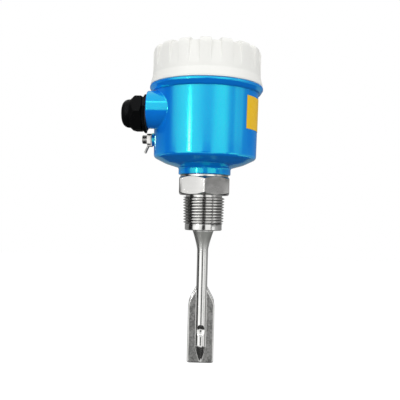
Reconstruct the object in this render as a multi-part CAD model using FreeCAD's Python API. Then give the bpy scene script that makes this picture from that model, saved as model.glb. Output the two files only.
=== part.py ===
import FreeCAD, Part
import math
import os

# Vibrating fork level switch. Sizes are in millimetres. The origin lies on the axis, at the lower face
# of the hexagon. Z points up to the cover, and the front of the switch looks along -Y.

# Fits
FIT = 0.05
COVER_THREAD_GAP = 0.8
COVER_RIM_GAP = 0.3
GASKET_SIDE_GAP = 0.4
ENVELOPE_GAP = 0.3

# How far a cutting shape runs past the face that it opens, and when two points count as one
OVERRUN = 1.0
SAME_POINT = 1e-6

# Process fitting, turned from hexagon bar, with a taper pipe thread
HEX_ACROSS_FLATS = 32.0
HEX_HEIGHT = 12.0
HEX_TURN = 30.0
HEX_FACE_SHARE = 0.955
HEX_CHAMFER_ANGLE = 30.0
RELIEF_LENGTH = 1.2
RELIEF_DEPTH = 1.0
THREAD_LENGTH = 17.3
THREAD_END_RADIUS = 12.85
THREAD_TAPER = 1.0 / 32.0
THREAD_CHAMFER = 0.6
COLLAR_RADIUS = 0.975 * HEX_ACROSS_FLATS / 2
COLLAR_HEIGHT = 1.2
NECK_SPIGOT_RADIUS = COLLAR_RADIUS - 2.1
NECK_SPIGOT_LENGTH = 11.0
SENSOR_BORE_RADIUS = THREAD_END_RADIUS - 3.85
SEAL_SETBACK = 1.3
SEAL_SECTION_RADIUS = 0.8
SEAL_GROOVE_WIDTH = 2.5 * SEAL_SECTION_RADIUS

# Fork, one piece with its diaphragm and pilot
PILOT_RADIUS = THREAD_END_RADIUS - 0.85
PILOT_LENGTH = 4.1
PILOT_EDGE_RADIUS = 0.6
DIAPHRAGM_THICKNESS = 1.4
FORK_LIP_LENGTH = 2.5
FORK_CUP_WALL = 1.0
TINE_LENGTH = 84.3
TINE_GAP = 10.0
TINE_ROD_RADIUS = 3.5
ROD_INSET = 1.5
ROOT_RADIUS = 6.3
ROOT_LENGTH = 12.4
ROOT_SECTIONS = 4
ROOT_CURVE = 1.35
ROOT_OVERLAP = 0.7
SHOULDER_START = 36.0
SHOULDER_LENGTH = 10.0
PADDLE_WIDTH = 16.8
PADDLE_THICKNESS = 3.0
SHOULDER_INNER_SHARE = 0.85
PADDLE_SHOULDER_RADIUS = 4.0
PADDLE_CORNER_RADIUS = 1.2
POINT_LENGTH = 10.0
POINT_RADIUS = 0.9 * ROD_INSET
POINT_SETBACK = 0.6
RECESS_BALL_RADIUS = 5.0
RECESS_DEPTH = 1.6
RECESS_ABOVE_TIP = 20.7

# Housing, one casting; its other radii follow from the wall below the rim
WALL_TOP_RADIUS = 33.7
WALL_DRAFT = 0.6
WALL_BOTTOM_RADIUS = WALL_TOP_RADIUS - WALL_DRAFT
WALL_HEIGHT = 41.7
WALL_CORNER_RADIUS = 2.6
WALL_THICKNESS = 4.9
CAVITY_RADIUS = WALL_TOP_RADIUS - WALL_THICKNESS
NECK_RADIUS = COLLAR_RADIUS + 1.3
NECK_HEIGHT = 4.3
CONE_HEIGHT = 6.3
BOWL_MIDDLE_SHARE = 0.53
BOWL_SAG = 0.8
BOWL_BEND_RADIUS = 18.0
NECK_EDGE_RADIUS = 0.5
NECK_ROOT_RADIUS = 1.5
FLANGE_RADIUS = WALL_TOP_RADIUS + 2.9
FLANGE_HEIGHT = 4.2
FLANGE_UNDERCUT = 1.7
FLANGE_FACE_SHARE = 0.36
FLANGE_EDGE_RADIUS = 1.2
FLANGE_ROOT_RADIUS = 0.2
COVER_SPIGOT_WALL = 2.4
COVER_SPIGOT_RADIUS = CAVITY_RADIUS + COVER_SPIGOT_WALL
COVER_SPIGOT_HEIGHT = 9.5
MOUTH_EDGE_RADIUS = 0.5
FLOOR_THICKNESS = 4.7
FLOOR_CORNER_RADIUS = 3.0
FLOOR_FLAT_RADIUS = NECK_SPIGOT_RADIUS + 3.5
POST_RADIUS = 3.4
POST_RISE = 0.5
POST_HOLE_DEPTH = 5.0

# Cable entry boss, in front of the axis and turned a little away from the front; its hole sits low in it
ENTRY_TURN = 3.0
ENTRY_OFFSET = 13.3
ENTRY_REACH = WALL_TOP_RADIUS + 2.4
ENTRY_DROP = 2.6
ENTRY_DEPTH_SHARE = 0.6
BOSS_RADIUS = 11.8
BOSS_EDGE_RADIUS = 0.8
BOSS_BLEND = 0.6
BOSS_FLANGE_GAP = 0.3
BOSS_BELOW_FLANGE = BOSS_RADIUS + BOSS_BLEND + BOSS_FLANGE_GAP
ENTRY_BELOW_FLANGE = BOSS_BELOW_FLANGE + ENTRY_DROP

# Outer earthing terminal
GROUND_TURN = 3.0
GROUND_BELOW_FLANGE = 29.9
GROUND_REACH = WALL_TOP_RADIUS + 0.8
GROUND_PAD_RADIUS = 4.2
GROUND_TAB_THICKNESS = 0.8
GROUND_TAB_WIDTH = 5.6
GROUND_TAB_FOOT = 2.0
GROUND_TAB_LEG = 5.0
GROUND_TAB_ANGLE = 66.0
GROUND_TAB_GAP = 0.1
GROUND_CLAMP_WIDTH = 7.2
GROUND_CLAMP_THICKNESS = 2.4
GROUND_CLAMP_CORNER = 1.0
GROUND_SCREW_RADIUS = 2.0
GROUND_HEAD_RADIUS = 2.8
GROUND_HEAD_HEIGHT = 3.3
GROUND_SCREW_DEPTH = 4.4
GROUND_HOLE_SPARE = 0.4
GROUND_HEAD_EDGE = 0.5

# Sticker on the wall, measured from the front towards the right
STICKER_TURN = 68.1
STICKER_WIDTH = 23.0
STICKER_HEIGHT = 20.5
STICKER_BELOW_FLANGE = 14.0
STICKER_THICKNESS = 0.15

# Cover and its gasket
SKIRT_RADIUS = FLANGE_RADIUS - 0.4
SKIRT_HEIGHT = 6.2
SKIRT_SLOPE = 1.4
SKIRT_EDGE_RADIUS = 1.2
SKIRT_LIP_RADIUS = 0.4
COVER_BODY_RADIUS = SKIRT_RADIUS - 1.4
COVER_HEIGHT = 24.1
COVER_EDGE_RADIUS = 3.2
COVER_TOP_THICKNESS = 2.3
CEILING_CORNER_RADIUS = 3.0
LUG_COUNT = 16
LUG_SHARE = 0.54
LUG_HEIGHT = 1.6
LUG_LENGTH = 10.3
LUG_INNER_RADIUS = COVER_BODY_RADIUS - LUG_LENGTH
FLUTE_END_RISE = 2.0
LUG_PHASE = -2.0
GASKET_THICKNESS = 1.5
GASKET_INNER_RADIUS = CAVITY_RADIUS + 0.3
COVER_CHAMBER_RADIUS = GASKET_INNER_RADIUS + 0.5

# Cable gland, measured outward from the face of the boss
GLAND_THREAD_RADIUS = 8.0
GLAND_THREAD_LENGTH = 10.0
GLAND_WASHER_RADIUS = GLAND_THREAD_RADIUS + 2.4
GLAND_WASHER_THICKNESS = 0.6
GLAND_HEX_ACROSS_FLATS = 21.2
GLAND_HEX_HEIGHT = 2.0
GLAND_HEX_TURN = -15.0
GLAND_HEX_FACE_SHARE = 1.0
GLAND_BODY_BORE = GLAND_THREAD_RADIUS - 2.4
CLAW_ROOT_RADIUS = GLAND_THREAD_RADIUS + 0.5
CLAW_TIP_RADIUS = CLAW_ROOT_RADIUS - 1.2
CLAW_ROOT_LENGTH = 5.4
CLAW_LENGTH = 8.8
CLAW_WALL = 1.2
CLAW_BORE_RADIUS = CLAW_TIP_RADIUS - CLAW_WALL
CLAW_SHELF = 1.0
CLAW_SLOTS = 8
CLAW_SLOT_WIDTH = 0.9
CLAW_SLOT_DEPTH = 4.5
NUT_ACROSS_FLATS = 21.0
NUT_HEX_HEIGHT = 7.4
NUT_GAP = 0.3
NUT_HEX_TURN = 30.0
NUT_CHAMFER = 1.4
NUT_FOOT_CHAMFER = 0.8
NUT_SHOULDER = 0.4
DOME_RADIUS = CLAW_ROOT_RADIUS + 0.4
DOME_LENGTH = 5.7
DOME_EDGE_RADIUS = 4.6
SEAL_WALL = 1.35
SEAL_GAP = 0.15
SEAL_RADIUS = CLAW_BORE_RADIUS - SEAL_GAP
SEAL_BORE_RADIUS = SEAL_RADIUS - SEAL_WALL
SEAL_LENGTH = CLAW_LENGTH
NUT_HOLE_RADIUS = SEAL_BORE_RADIUS + 0.3
NUT_TIP_GAP = 0.4
NUT_LAND_LENGTH = 1.7

# Electronics insert
CUP_RADIUS = CAVITY_RADIUS - 3.3
CUP_HEIGHT = 15.0
CUP_EDGE_RADIUS = 0.8
POST_CIRCLE_RADIUS = CUP_RADIUS - 4.0
SCREW_COUNTERBORE_RADIUS = 3.0
SCREW_COUNTERBORE_DEPTH = 3.2
MODULE_SCREW_RADIUS = 1.5
MODULE_HEAD_RADIUS = 2.75
MODULE_HEAD_HEIGHT = 2.8
MODULE_SCREW_BITE = 4.5
MODULE_HEAD_EDGE = 0.4
MODULE_HOLE_GAP = 0.2
MODULE_SCREW_ANGLES = (30.0, 150.0, 270.0)
BOARD_RADIUS = CUP_RADIUS - 1.0
BOARD_THICKNESS = 1.6
TERMINAL_COUNT = 5
TERMINAL_PITCH = 5.08
TERMINAL_END_WALL = 1.0
TERMINAL_BLOCK_DEPTH = 9.5
TERMINAL_BLOCK_HEIGHT = 10.5
TERMINAL_BLOCK_CENTRE_Y = 9.0
TERMINAL_WELL_DEPTH = 4.5
TERMINAL_SCREW_RADIUS = 1.8
TERMINAL_SCREW_HEIGHT = 2.4
WIRE_DOOR = 3.2
WIRE_DOOR_DEPTH = 6.0
WIRE_DOOR_RISE = 1.6
SLOT_WIDTH = 0.7
SLOT_DEPTH = 0.9
SWITCH_SIZE = (9.0, 4.6, 3.8)
SWITCH_CENTRE = (-8.0, -8.0)
SLIDER_SIZE = (2.6, 1.4, 3.2)
SLIDER_TRAVEL = 2.2
SLIDER_GAP = 0.1
SWITCH_SLOT_DEPTH = 1.8
TRIMMER_WIDTH = 6.5
TRIMMER_HEIGHT = 4.0
TRIMMER_CENTRE = (8.0, -8.0)
TRIMMER_ROTOR_RADIUS = 2.2
TRIMMER_ROTOR_HEIGHT = 1.9
TRIMMER_RECESS_DEPTH = 1.6
LED_RADIUS = 1.5
LED_BODY_HEIGHT = 3.0
LED_FOOT_RADIUS = 1.9
LED_FOOT_HEIGHT = 1.0
LED_DOME_SHARE = 0.99
LED_SPACING = 6.0
LED_CENTRE_Y = -14.0

# Piezo drive and its wiring
PLUG_RADIUS = 5.5
PLUG_HEIGHT = 4.0
LEAD_RADIUS = 0.55
LEAD_SPREAD = 2.2
LEAD_STAND_OFF = 0.9
LEAD_BEND_RADIUS = 8.0
LEAD_BEND_TOP = 8.0
LEAD_BEND_BOTTOM = 21.0
STUD_RADIUS = 2.5
STUD_LENGTH = 17.2
PIEZO_RADIUS = SENSOR_BORE_RADIUS - 3.0
PIEZO_BORE_RADIUS = 2.8
PIEZO_THICKNESS = 2.0
PIEZO_COUNT = 4
ELECTRODE_THICKNESS = 0.3
ELECTRODE_TAB_REACH = PIEZO_RADIUS + 1.6
ELECTRODE_TAB_WIDTH = 2.4
INSULATOR_THICKNESS = 1.5
INSULATOR_RIM = 0.4
CLAMP_NUT_ACROSS_FLATS = 8.0
CLAMP_NUT_HEIGHT = 4.0
CLAMP_NUT_FACE_SHARE = 0.97

# Levels along the axis that follow from the sizes above
THREAD_TOP_Z = -RELIEF_LENGTH
THREAD_END_Z = THREAD_TOP_Z - THREAD_LENGTH
PILOT_END_Z = THREAD_END_Z - PILOT_LENGTH
DIAPHRAGM_Z = PILOT_END_Z + DIAPHRAGM_THICKNESS
TIP_Z = PILOT_END_Z - TINE_LENGTH
NECK_Z = HEX_HEIGHT + COLLAR_HEIGHT
CONE_Z = NECK_Z + NECK_HEIGHT
WALL_Z = CONE_Z + CONE_HEIGHT
FLANGE_Z = WALL_Z + WALL_HEIGHT
RIM_Z = FLANGE_Z + FLANGE_HEIGHT
MOUTH_Z = RIM_Z + COVER_SPIGOT_HEIGHT
SKIRT_Z = RIM_Z + COVER_RIM_GAP
SKIRT_TOP_Z = SKIRT_Z + SKIRT_HEIGHT
COVER_TOP_Z = SKIRT_Z + COVER_HEIGHT
PANEL_Z = COVER_TOP_Z - LUG_HEIGHT
CEILING_Z = PANEL_Z - COVER_TOP_THICKNESS
GASKET_TOP_Z = MOUTH_Z + GASKET_THICKNESS
FLOOR_Z = NECK_Z + NECK_SPIGOT_LENGTH
FLOOR_EDGE_Z = WALL_Z + FLOOR_THICKNESS
SEAT_Z = FLOOR_EDGE_Z + POST_RISE
CUP_TOP_Z = SEAT_Z + CUP_HEIGHT
BOARD_TOP_Z = CUP_TOP_Z + BOARD_THICKNESS
NECK_BORE_RADIUS = NECK_SPIGOT_RADIUS + FIT
COVER_BORE_RADIUS = COVER_SPIGOT_RADIUS + COVER_THREAD_GAP

ORIGIN = FreeCAD.Vector(0, 0, 0)
UP = FreeCAD.Vector(0, 0, 1)


def rounded_wire(corners, plane):
    """Closed wire through (u, v) or (u, v, radius) corners; plane(u, v) gives the point in space."""
    points = [FreeCAD.Vector(corner[0], corner[1], 0) for corner in corners]
    radii = [corner[2] if len(corner) > 2 else 0.0 for corner in corners]
    arcs = []
    count = len(points)
    for index, point in enumerate(points):
        radius = radii[index]
        if radius == 0.0:
            arcs.append((point, None, point))
            continue
        back = (points[index - 1] - point).normalize()
        ahead = (points[(index + 1) % count] - point).normalize()
        half = back.getAngle(ahead) / 2
        start = point + back * (radius / math.tan(half))
        end = point + ahead * (radius / math.tan(half))
        bisector = (back + ahead).normalize()
        middle = point + bisector * (radius / math.sin(half) - radius)
        arcs.append((start, middle, end))
    edges = []
    for index, (start, middle, end) in enumerate(arcs):
        if middle is not None:
            arc = Part.Arc(plane(start.x, start.y), plane(middle.x, middle.y), plane(end.x, end.y))
            edges.append(arc.toShape())
        following = arcs[(index + 1) % count][0]
        if end.distanceToPoint(following) > SAME_POINT:
            edges.append(Part.makeLine(plane(end.x, end.y), plane(following.x, following.y)))
    return Part.Wire(edges)


def turned(corners, angle=360.0):
    """Solid turned about Z from corners given as (radius, height) with an optional edge rounding."""
    face = Part.Face(rounded_wire(corners, lambda u, v: FreeCAD.Vector(u, 0, v)))
    return face.revolve(ORIGIN, UP, angle)


def ring(inner, outer, bottom, top):
    """Plain ring about Z."""
    return turned([(inner, bottom), (outer, bottom), (outer, top), (inner, top)])


def rod(radius, bottom, top, x=0.0, y=0.0):
    """Upright round bar between two levels."""
    return Part.makeCylinder(radius, top - bottom, FreeCAD.Vector(x, y, bottom))


def block(size, centre, bottom):
    """Upright box with its centre in plan and the level of its underside given."""
    corner = FreeCAD.Vector(centre[0] - size[0] / 2, centre[1] - size[1] / 2, bottom)
    return Part.makeBox(size[0], size[1], size[2], corner)


def hexagon(across_flats, bottom, top, turn=0.0):
    """Six-sided bar about Z; with no turn one corner lies on +X."""
    radius = across_flats / math.sqrt(3)
    angles = [math.radians(turn + 60 * step) for step in range(7)]
    points = [FreeCAD.Vector(radius * math.cos(a), radius * math.sin(a), bottom) for a in angles]
    return Part.Face(Part.makePolygon(points)).extrude(UP * (top - bottom))


def chamfered_hexagon(across_flats, bottom, top, turn, face_share, ends):
    """Six-sided bar whose corners are turned away at the named ends."""
    corner = across_flats / math.sqrt(3)
    face = across_flats / 2 * face_share
    depth = (corner - face) * math.tan(math.radians(HEX_CHAMFER_ANGLE))
    outline = [(0, bottom)]
    if "bottom" in ends:
        outline += [(face, bottom), (corner, bottom + depth)]
    else:
        outline += [(corner, bottom)]
    if "top" in ends:
        outline += [(corner, top - depth), (face, top)]
    else:
        outline += [(corner, top)]
    outline += [(0, top)]
    return hexagon(across_flats, bottom, top, turn).common(turned(outline))


def slotted(head, top):
    """Head with a straight screwdriver slot cut across its top face."""
    size = head.BoundBox
    cutter = block((2 * size.DiagonalLength, SLOT_WIDTH, 2 * SLOT_DEPTH), (size.Center.x, size.Center.y), 0)
    return head.cut(cutter.translated(UP * (top - SLOT_DEPTH)))


def frame(origin, outward):
    """Placement with local Z along outward and local X upwards."""
    side = outward.cross(UP)
    return FreeCAD.Placement(origin, FreeCAD.Rotation(UP, side, outward, "ZXY"))


def placed(shape, placement):
    """Copy of a shape moved from a local frame into the part's frame."""
    return shape.transformed(placement.toMatrix())


def polar(radius, angle, height=0.0):
    """Point at a radius and an angle in degrees from +X."""
    turn = math.radians(angle)
    return FreeCAD.Vector(radius * math.cos(turn), radius * math.sin(turn), height)


def save(name, shape):
    """Write one node."""
    shape.exportStep("parts/" + name + ".step")


def side_frame(below_flange):
    """Local frame on the face of the cable boss at a depth below the flange, Z outward along the cable."""
    outward = polar(1.0, 180.0 - ENTRY_TURN)
    towards_front = outward.cross(UP) * -1
    centre = outward * ENTRY_REACH + towards_front * ENTRY_OFFSET
    return frame(centre + UP * (FLANGE_Z - below_flange), outward)


def boss_frame():
    """Local frame of the cable boss."""
    return side_frame(BOSS_BELOW_FLANGE)


def entry_frame():
    """Local frame of the cable entry in the boss."""
    return side_frame(ENTRY_BELOW_FLANGE)


def ground_frame():
    """Local frame of the earthing terminal: origin on the face of its pad, Z outward."""
    outward = polar(1.0, 180.0 - GROUND_TURN)
    return frame(outward * GROUND_REACH + UP * (FLANGE_Z - GROUND_BELOW_FLANGE), outward)


def process_fitting():
    """Hexagon, taper thread and neck spigot with a seal groove, bored for the drive."""
    thread_top_radius = THREAD_END_RADIUS + THREAD_LENGTH * THREAD_TAPER
    relief_radius = THREAD_END_RADIUS - RELIEF_DEPTH
    groove_bottom = NECK_Z + SEAL_SETBACK
    groove_top = groove_bottom + SEAL_GROOVE_WIDTH
    groove_radius = NECK_BORE_RADIUS - 2 * SEAL_SECTION_RADIUS - FIT
    spigot_top = NECK_Z + NECK_SPIGOT_LENGTH
    body = turned([
        (SENSOR_BORE_RADIUS, THREAD_END_Z),
        (THREAD_END_RADIUS - THREAD_CHAMFER, THREAD_END_Z),
        (THREAD_END_RADIUS, THREAD_END_Z + THREAD_CHAMFER),
        (thread_top_radius, THREAD_TOP_Z),
        (relief_radius, THREAD_TOP_Z),
        (relief_radius, HEX_HEIGHT / 2),
        (COLLAR_RADIUS, HEX_HEIGHT / 2),
        (COLLAR_RADIUS, NECK_Z),
        (NECK_SPIGOT_RADIUS, NECK_Z),
        (NECK_SPIGOT_RADIUS, groove_bottom),
        (groove_radius, groove_bottom),
        (groove_radius, groove_top),
        (NECK_SPIGOT_RADIUS, groove_top),
        (NECK_SPIGOT_RADIUS, spigot_top),
        (SENSOR_BORE_RADIUS, spigot_top),
    ])
    nut = chamfered_hexagon(
        HEX_ACROSS_FLATS, 0, HEX_HEIGHT, HEX_TURN, HEX_FACE_SHARE, ("bottom", "top"))
    bore = rod(SENSOR_BORE_RADIUS, -OVERRUN, HEX_HEIGHT + OVERRUN)
    return body.fuse(nut.cut(bore)).removeSplitter()


def neck_seal():
    """Round sealing ring in the groove of the neck spigot."""
    height = NECK_Z + SEAL_SETBACK + SEAL_GROOVE_WIDTH / 2
    radius = NECK_BORE_RADIUS - SEAL_SECTION_RADIUS - FIT / 2
    return Part.makeTorus(radius, SEAL_SECTION_RADIUS, FreeCAD.Vector(0, 0, height))


def tine_root(axis_y):
    """Flare between the diaphragm and the round stem, oval at the top so that it stays inside the pilot."""
    depth_limit = PILOT_RADIUS - ENVELOPE_GAP - axis_y
    sections = []
    for step in range(ROOT_SECTIONS + 1):
        share = step / ROOT_SECTIONS
        flare = (1 - share) ** ROOT_CURVE
        half_width = TINE_ROD_RADIUS + (ROOT_RADIUS - TINE_ROD_RADIUS) * flare
        half_depth = TINE_ROD_RADIUS + (depth_limit - TINE_ROD_RADIUS) * flare
        centre = FreeCAD.Vector(0, axis_y, PILOT_END_Z + ROOT_OVERLAP - share * (ROOT_LENGTH + ROOT_OVERLAP))
        oval = Part.Ellipse(centre, half_width, half_depth)
        sections.append(Part.Wire([oval.toShape()]))
    return Part.makeLoft(sections, True)


def tine():
    """Rear tine: flared round stem, flat paddle and a pointed ridge with a ball-milled tuning recess."""
    inner_y = TINE_GAP / 2
    axis_y = inner_y + ROD_INSET
    ridge_end_z = TIP_Z + POINT_SETBACK
    stem = turned([
        (0, PILOT_END_Z - ROOT_LENGTH),
        (TINE_ROD_RADIUS, PILOT_END_Z - ROOT_LENGTH),
        (TINE_ROD_RADIUS, ridge_end_z + POINT_LENGTH),
        (POINT_RADIUS, ridge_end_z),
        (0, ridge_end_z),
    ]).translated(FreeCAD.Vector(0, axis_y, 0))
    stem = stem.fuse(tine_root(axis_y))
    half = PADDLE_WIDTH / 2
    shoulder_inner = TINE_ROD_RADIUS * SHOULDER_INNER_SHARE
    shoulder_top = PILOT_END_Z - SHOULDER_START
    shoulder_bottom = shoulder_top - SHOULDER_LENGTH
    paddle_wire = rounded_wire([
        (-shoulder_inner, shoulder_top),
        (-half, shoulder_bottom, PADDLE_SHOULDER_RADIUS),
        (-half, TIP_Z, PADDLE_CORNER_RADIUS),
        (half, TIP_Z, PADDLE_CORNER_RADIUS),
        (half, shoulder_bottom, PADDLE_SHOULDER_RADIUS),
        (shoulder_inner, shoulder_top),
    ], lambda u, v: FreeCAD.Vector(u, inner_y, v))
    paddle = Part.Face(paddle_wire).extrude(FreeCAD.Vector(0, PADDLE_THICKNESS, 0))
    crest_y = axis_y + TINE_ROD_RADIUS
    ball_y = crest_y - RECESS_DEPTH + RECESS_BALL_RADIUS
    ball = Part.makeSphere(RECESS_BALL_RADIUS, FreeCAD.Vector(0, ball_y, TIP_Z + RECESS_ABOVE_TIP))
    span = 2 * PILOT_RADIUS
    keep = Part.makeBox(span, span, 2 * TINE_LENGTH, FreeCAD.Vector(-span / 2, inner_y, TIP_Z - OVERRUN))
    return stem.common(keep).fuse(paddle).cut(ball)


def fork():
    """Pilot cup with its diaphragm and two tines, one piece."""
    lip_radius = SENSOR_BORE_RADIUS - FIT
    cup = turned([
        (0, PILOT_END_Z),
        (PILOT_RADIUS, PILOT_END_Z, PILOT_EDGE_RADIUS),
        (PILOT_RADIUS, THREAD_END_Z),
        (lip_radius, THREAD_END_Z),
        (lip_radius, THREAD_END_Z + FORK_LIP_LENGTH),
        (lip_radius - FORK_CUP_WALL, THREAD_END_Z + FORK_LIP_LENGTH),
        (lip_radius - FORK_CUP_WALL, DIAPHRAGM_Z),
        (0, DIAPHRAGM_Z),
    ])
    rear = tine()
    front = rear.rotated(ORIGIN, UP, 180)
    return cup.fuse([rear, front]).removeSplitter()


def on_boss_seam(edge):
    """True for the edge where the cable boss runs into the wall."""
    to_boss = boss_frame().inverse()
    for step in range(9):
        point = edge.valueAt(edge.FirstParameter + (edge.LastParameter - edge.FirstParameter) * step / 8)
        local = to_boss.multVec(point)
        on_boss = abs(math.hypot(local.x, local.y) - BOSS_RADIUS) < FIT
        on_wall = math.hypot(point.x, point.y) > WALL_BOTTOM_RADIUS - BOSS_BLEND
        if not on_boss or not on_wall or local.z > -2 * BOSS_EDGE_RADIUS:
            return False
    return edge.Length > BOSS_RADIUS


def housing():
    """Casting with neck, bowl, wall, rim flange, cover spigot, cable boss, earthing pad and screw posts."""
    bowl_radius = NECK_RADIUS + (WALL_BOTTOM_RADIUS - NECK_RADIUS) * BOWL_MIDDLE_SHARE
    bowl_z = CONE_Z + CONE_HEIGHT * BOWL_MIDDLE_SHARE - BOWL_SAG
    body = turned([
        (0, NECK_Z),
        (NECK_RADIUS, NECK_Z, NECK_EDGE_RADIUS),
        (NECK_RADIUS, CONE_Z, NECK_ROOT_RADIUS),
        (bowl_radius, bowl_z, BOWL_BEND_RADIUS),
        (WALL_BOTTOM_RADIUS, WALL_Z, WALL_CORNER_RADIUS),
        (WALL_TOP_RADIUS, FLANGE_Z, FLANGE_ROOT_RADIUS),
        (FLANGE_RADIUS - FLANGE_UNDERCUT, FLANGE_Z, FLANGE_EDGE_RADIUS),
        (FLANGE_RADIUS, RIM_Z - FLANGE_HEIGHT * FLANGE_FACE_SHARE, FLANGE_EDGE_RADIUS),
        (FLANGE_RADIUS, RIM_Z, FLANGE_EDGE_RADIUS / 2),
        (COVER_SPIGOT_RADIUS, RIM_Z),
        (COVER_SPIGOT_RADIUS, MOUTH_Z, MOUTH_EDGE_RADIUS),
        (0, MOUTH_Z),
    ])
    boss = placed(turned([
        (0, -ENTRY_REACH / 2),
        (BOSS_RADIUS, -ENTRY_REACH / 2),
        (BOSS_RADIUS, 0, BOSS_EDGE_RADIUS),
        (0, 0),
    ]), boss_frame())
    pad = placed(rod(GROUND_PAD_RADIUS, -GROUND_PAD_RADIUS, 0), ground_frame())
    casting = body.fuse(boss)
    seam = [edge for edge in casting.Edges if on_boss_seam(edge)]
    casting = casting.makeFillet(BOSS_BLEND, seam).fuse(pad)
    cavity = turned([
        (0, NECK_Z - OVERRUN),
        (NECK_BORE_RADIUS, NECK_Z - OVERRUN),
        (NECK_BORE_RADIUS, FLOOR_Z),
        (FLOOR_FLAT_RADIUS, FLOOR_Z),
        (CAVITY_RADIUS, FLOOR_EDGE_Z, FLOOR_CORNER_RADIUS),
        (CAVITY_RADIUS, MOUTH_Z + OVERRUN),
        (0, MOUTH_Z + OVERRUN),
    ])
    bore_end = -ENTRY_REACH * ENTRY_DEPTH_SHARE
    entry_bore = placed(rod(GLAND_THREAD_RADIUS + FIT, bore_end, OVERRUN), entry_frame())
    hole_bottom = -GROUND_SCREW_DEPTH - GROUND_HOLE_SPARE
    pad_hole = placed(rod(GROUND_SCREW_RADIUS + FIT, hole_bottom, OVERRUN), ground_frame())
    casting = casting.cut([cavity, entry_bore, pad_hole])
    posts = []
    holes = []
    for angle in MODULE_SCREW_ANGLES:
        spot = polar(POST_CIRCLE_RADIUS, angle)
        posts.append(rod(POST_RADIUS, FLOOR_Z, SEAT_Z, spot.x, spot.y))
        hole_radius = MODULE_SCREW_RADIUS + FIT
        holes.append(rod(hole_radius, SEAT_Z - POST_HOLE_DEPTH, SEAT_Z + OVERRUN, spot.x, spot.y))
    return casting.fuse(posts).cut(holes).removeSplitter()


def id_sticker():
    """Blank sticker wrapped on the tapered wall."""
    top = FLANGE_Z - STICKER_BELOW_FLANGE + STICKER_HEIGHT / 2
    bottom = top - STICKER_HEIGHT
    slope = (WALL_TOP_RADIUS - WALL_BOTTOM_RADIUS) / WALL_HEIGHT
    low = WALL_BOTTOM_RADIUS + (bottom - WALL_Z) * slope
    high = WALL_BOTTOM_RADIUS + (top - WALL_Z) * slope
    angle = math.degrees(STICKER_WIDTH / low)
    sheet = turned([
        (low, bottom),
        (low + STICKER_THICKNESS, bottom),
        (high + STICKER_THICKNESS, top),
        (high, top),
    ], angle)
    return sheet.rotated(ORIGIN, UP, STICKER_TURN - 90 - angle / 2)


def cover():
    """Screw cap with a skirt, grip lugs round its upper edge and a hollow for the wiring."""
    cap = turned([
        (COVER_BORE_RADIUS, SKIRT_Z),
        (SKIRT_RADIUS, SKIRT_Z, SKIRT_LIP_RADIUS),
        (SKIRT_RADIUS, SKIRT_TOP_Z - SKIRT_SLOPE, SKIRT_EDGE_RADIUS),
        (COVER_BODY_RADIUS, SKIRT_TOP_Z, SKIRT_EDGE_RADIUS),
        (COVER_BODY_RADIUS, COVER_TOP_Z, COVER_EDGE_RADIUS),
        (0, COVER_TOP_Z),
        (0, CEILING_Z),
        (COVER_CHAMBER_RADIUS, CEILING_Z, CEILING_CORNER_RADIUS),
        (COVER_CHAMBER_RADIUS, GASKET_TOP_Z),
        (COVER_BORE_RADIUS, GASKET_TOP_Z),
    ])
    flute_radius = COVER_BODY_RADIUS - LUG_HEIGHT
    flute_end = SKIRT_TOP_Z + FLUTE_END_RISE
    beyond = COVER_BODY_RADIUS + OVERRUN
    above = COVER_TOP_Z + OVERRUN
    pitch = 360.0 / LUG_COUNT
    flute_angle = pitch * (1 - LUG_SHARE)
    flute = turned([
        (COVER_BODY_RADIUS, flute_end),
        (flute_radius, PANEL_Z, COVER_EDGE_RADIUS - LUG_HEIGHT),
        (LUG_INNER_RADIUS - OVERRUN, PANEL_Z),
        (LUG_INNER_RADIUS - OVERRUN, above),
        (beyond, above),
        (beyond, flute_end),
    ], flute_angle)
    first = LUG_PHASE - 90 + pitch / 2 - flute_angle / 2
    flutes = [flute.rotated(ORIGIN, UP, first + pitch * step) for step in range(LUG_COUNT)]
    panel = rod(LUG_INNER_RADIUS, PANEL_Z, above)
    return cap.cut([panel] + flutes).removeSplitter()


def cover_gasket():
    """Flat ring between the mouth of the housing and the cover."""
    return ring(GASKET_INNER_RADIUS, COVER_BORE_RADIUS - GASKET_SIDE_GAP, MOUTH_Z, GASKET_TOP_Z)


def gland_levels():
    """Levels along the gland: hexagon base, hexagon top, nut base, nut top and dome end."""
    hex_base = GLAND_WASHER_THICKNESS
    hex_top = hex_base + GLAND_HEX_HEIGHT
    nut_base = hex_top + NUT_GAP
    nut_top = nut_base + NUT_HEX_HEIGHT
    return hex_base, hex_top, nut_base, nut_top, nut_top + DOME_LENGTH


def gland_washer():
    """Sealing washer between the gland and the boss."""
    washer = ring(GLAND_THREAD_RADIUS + FIT, GLAND_WASHER_RADIUS, 0, GLAND_WASHER_THICKNESS)
    return placed(washer, entry_frame())


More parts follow.
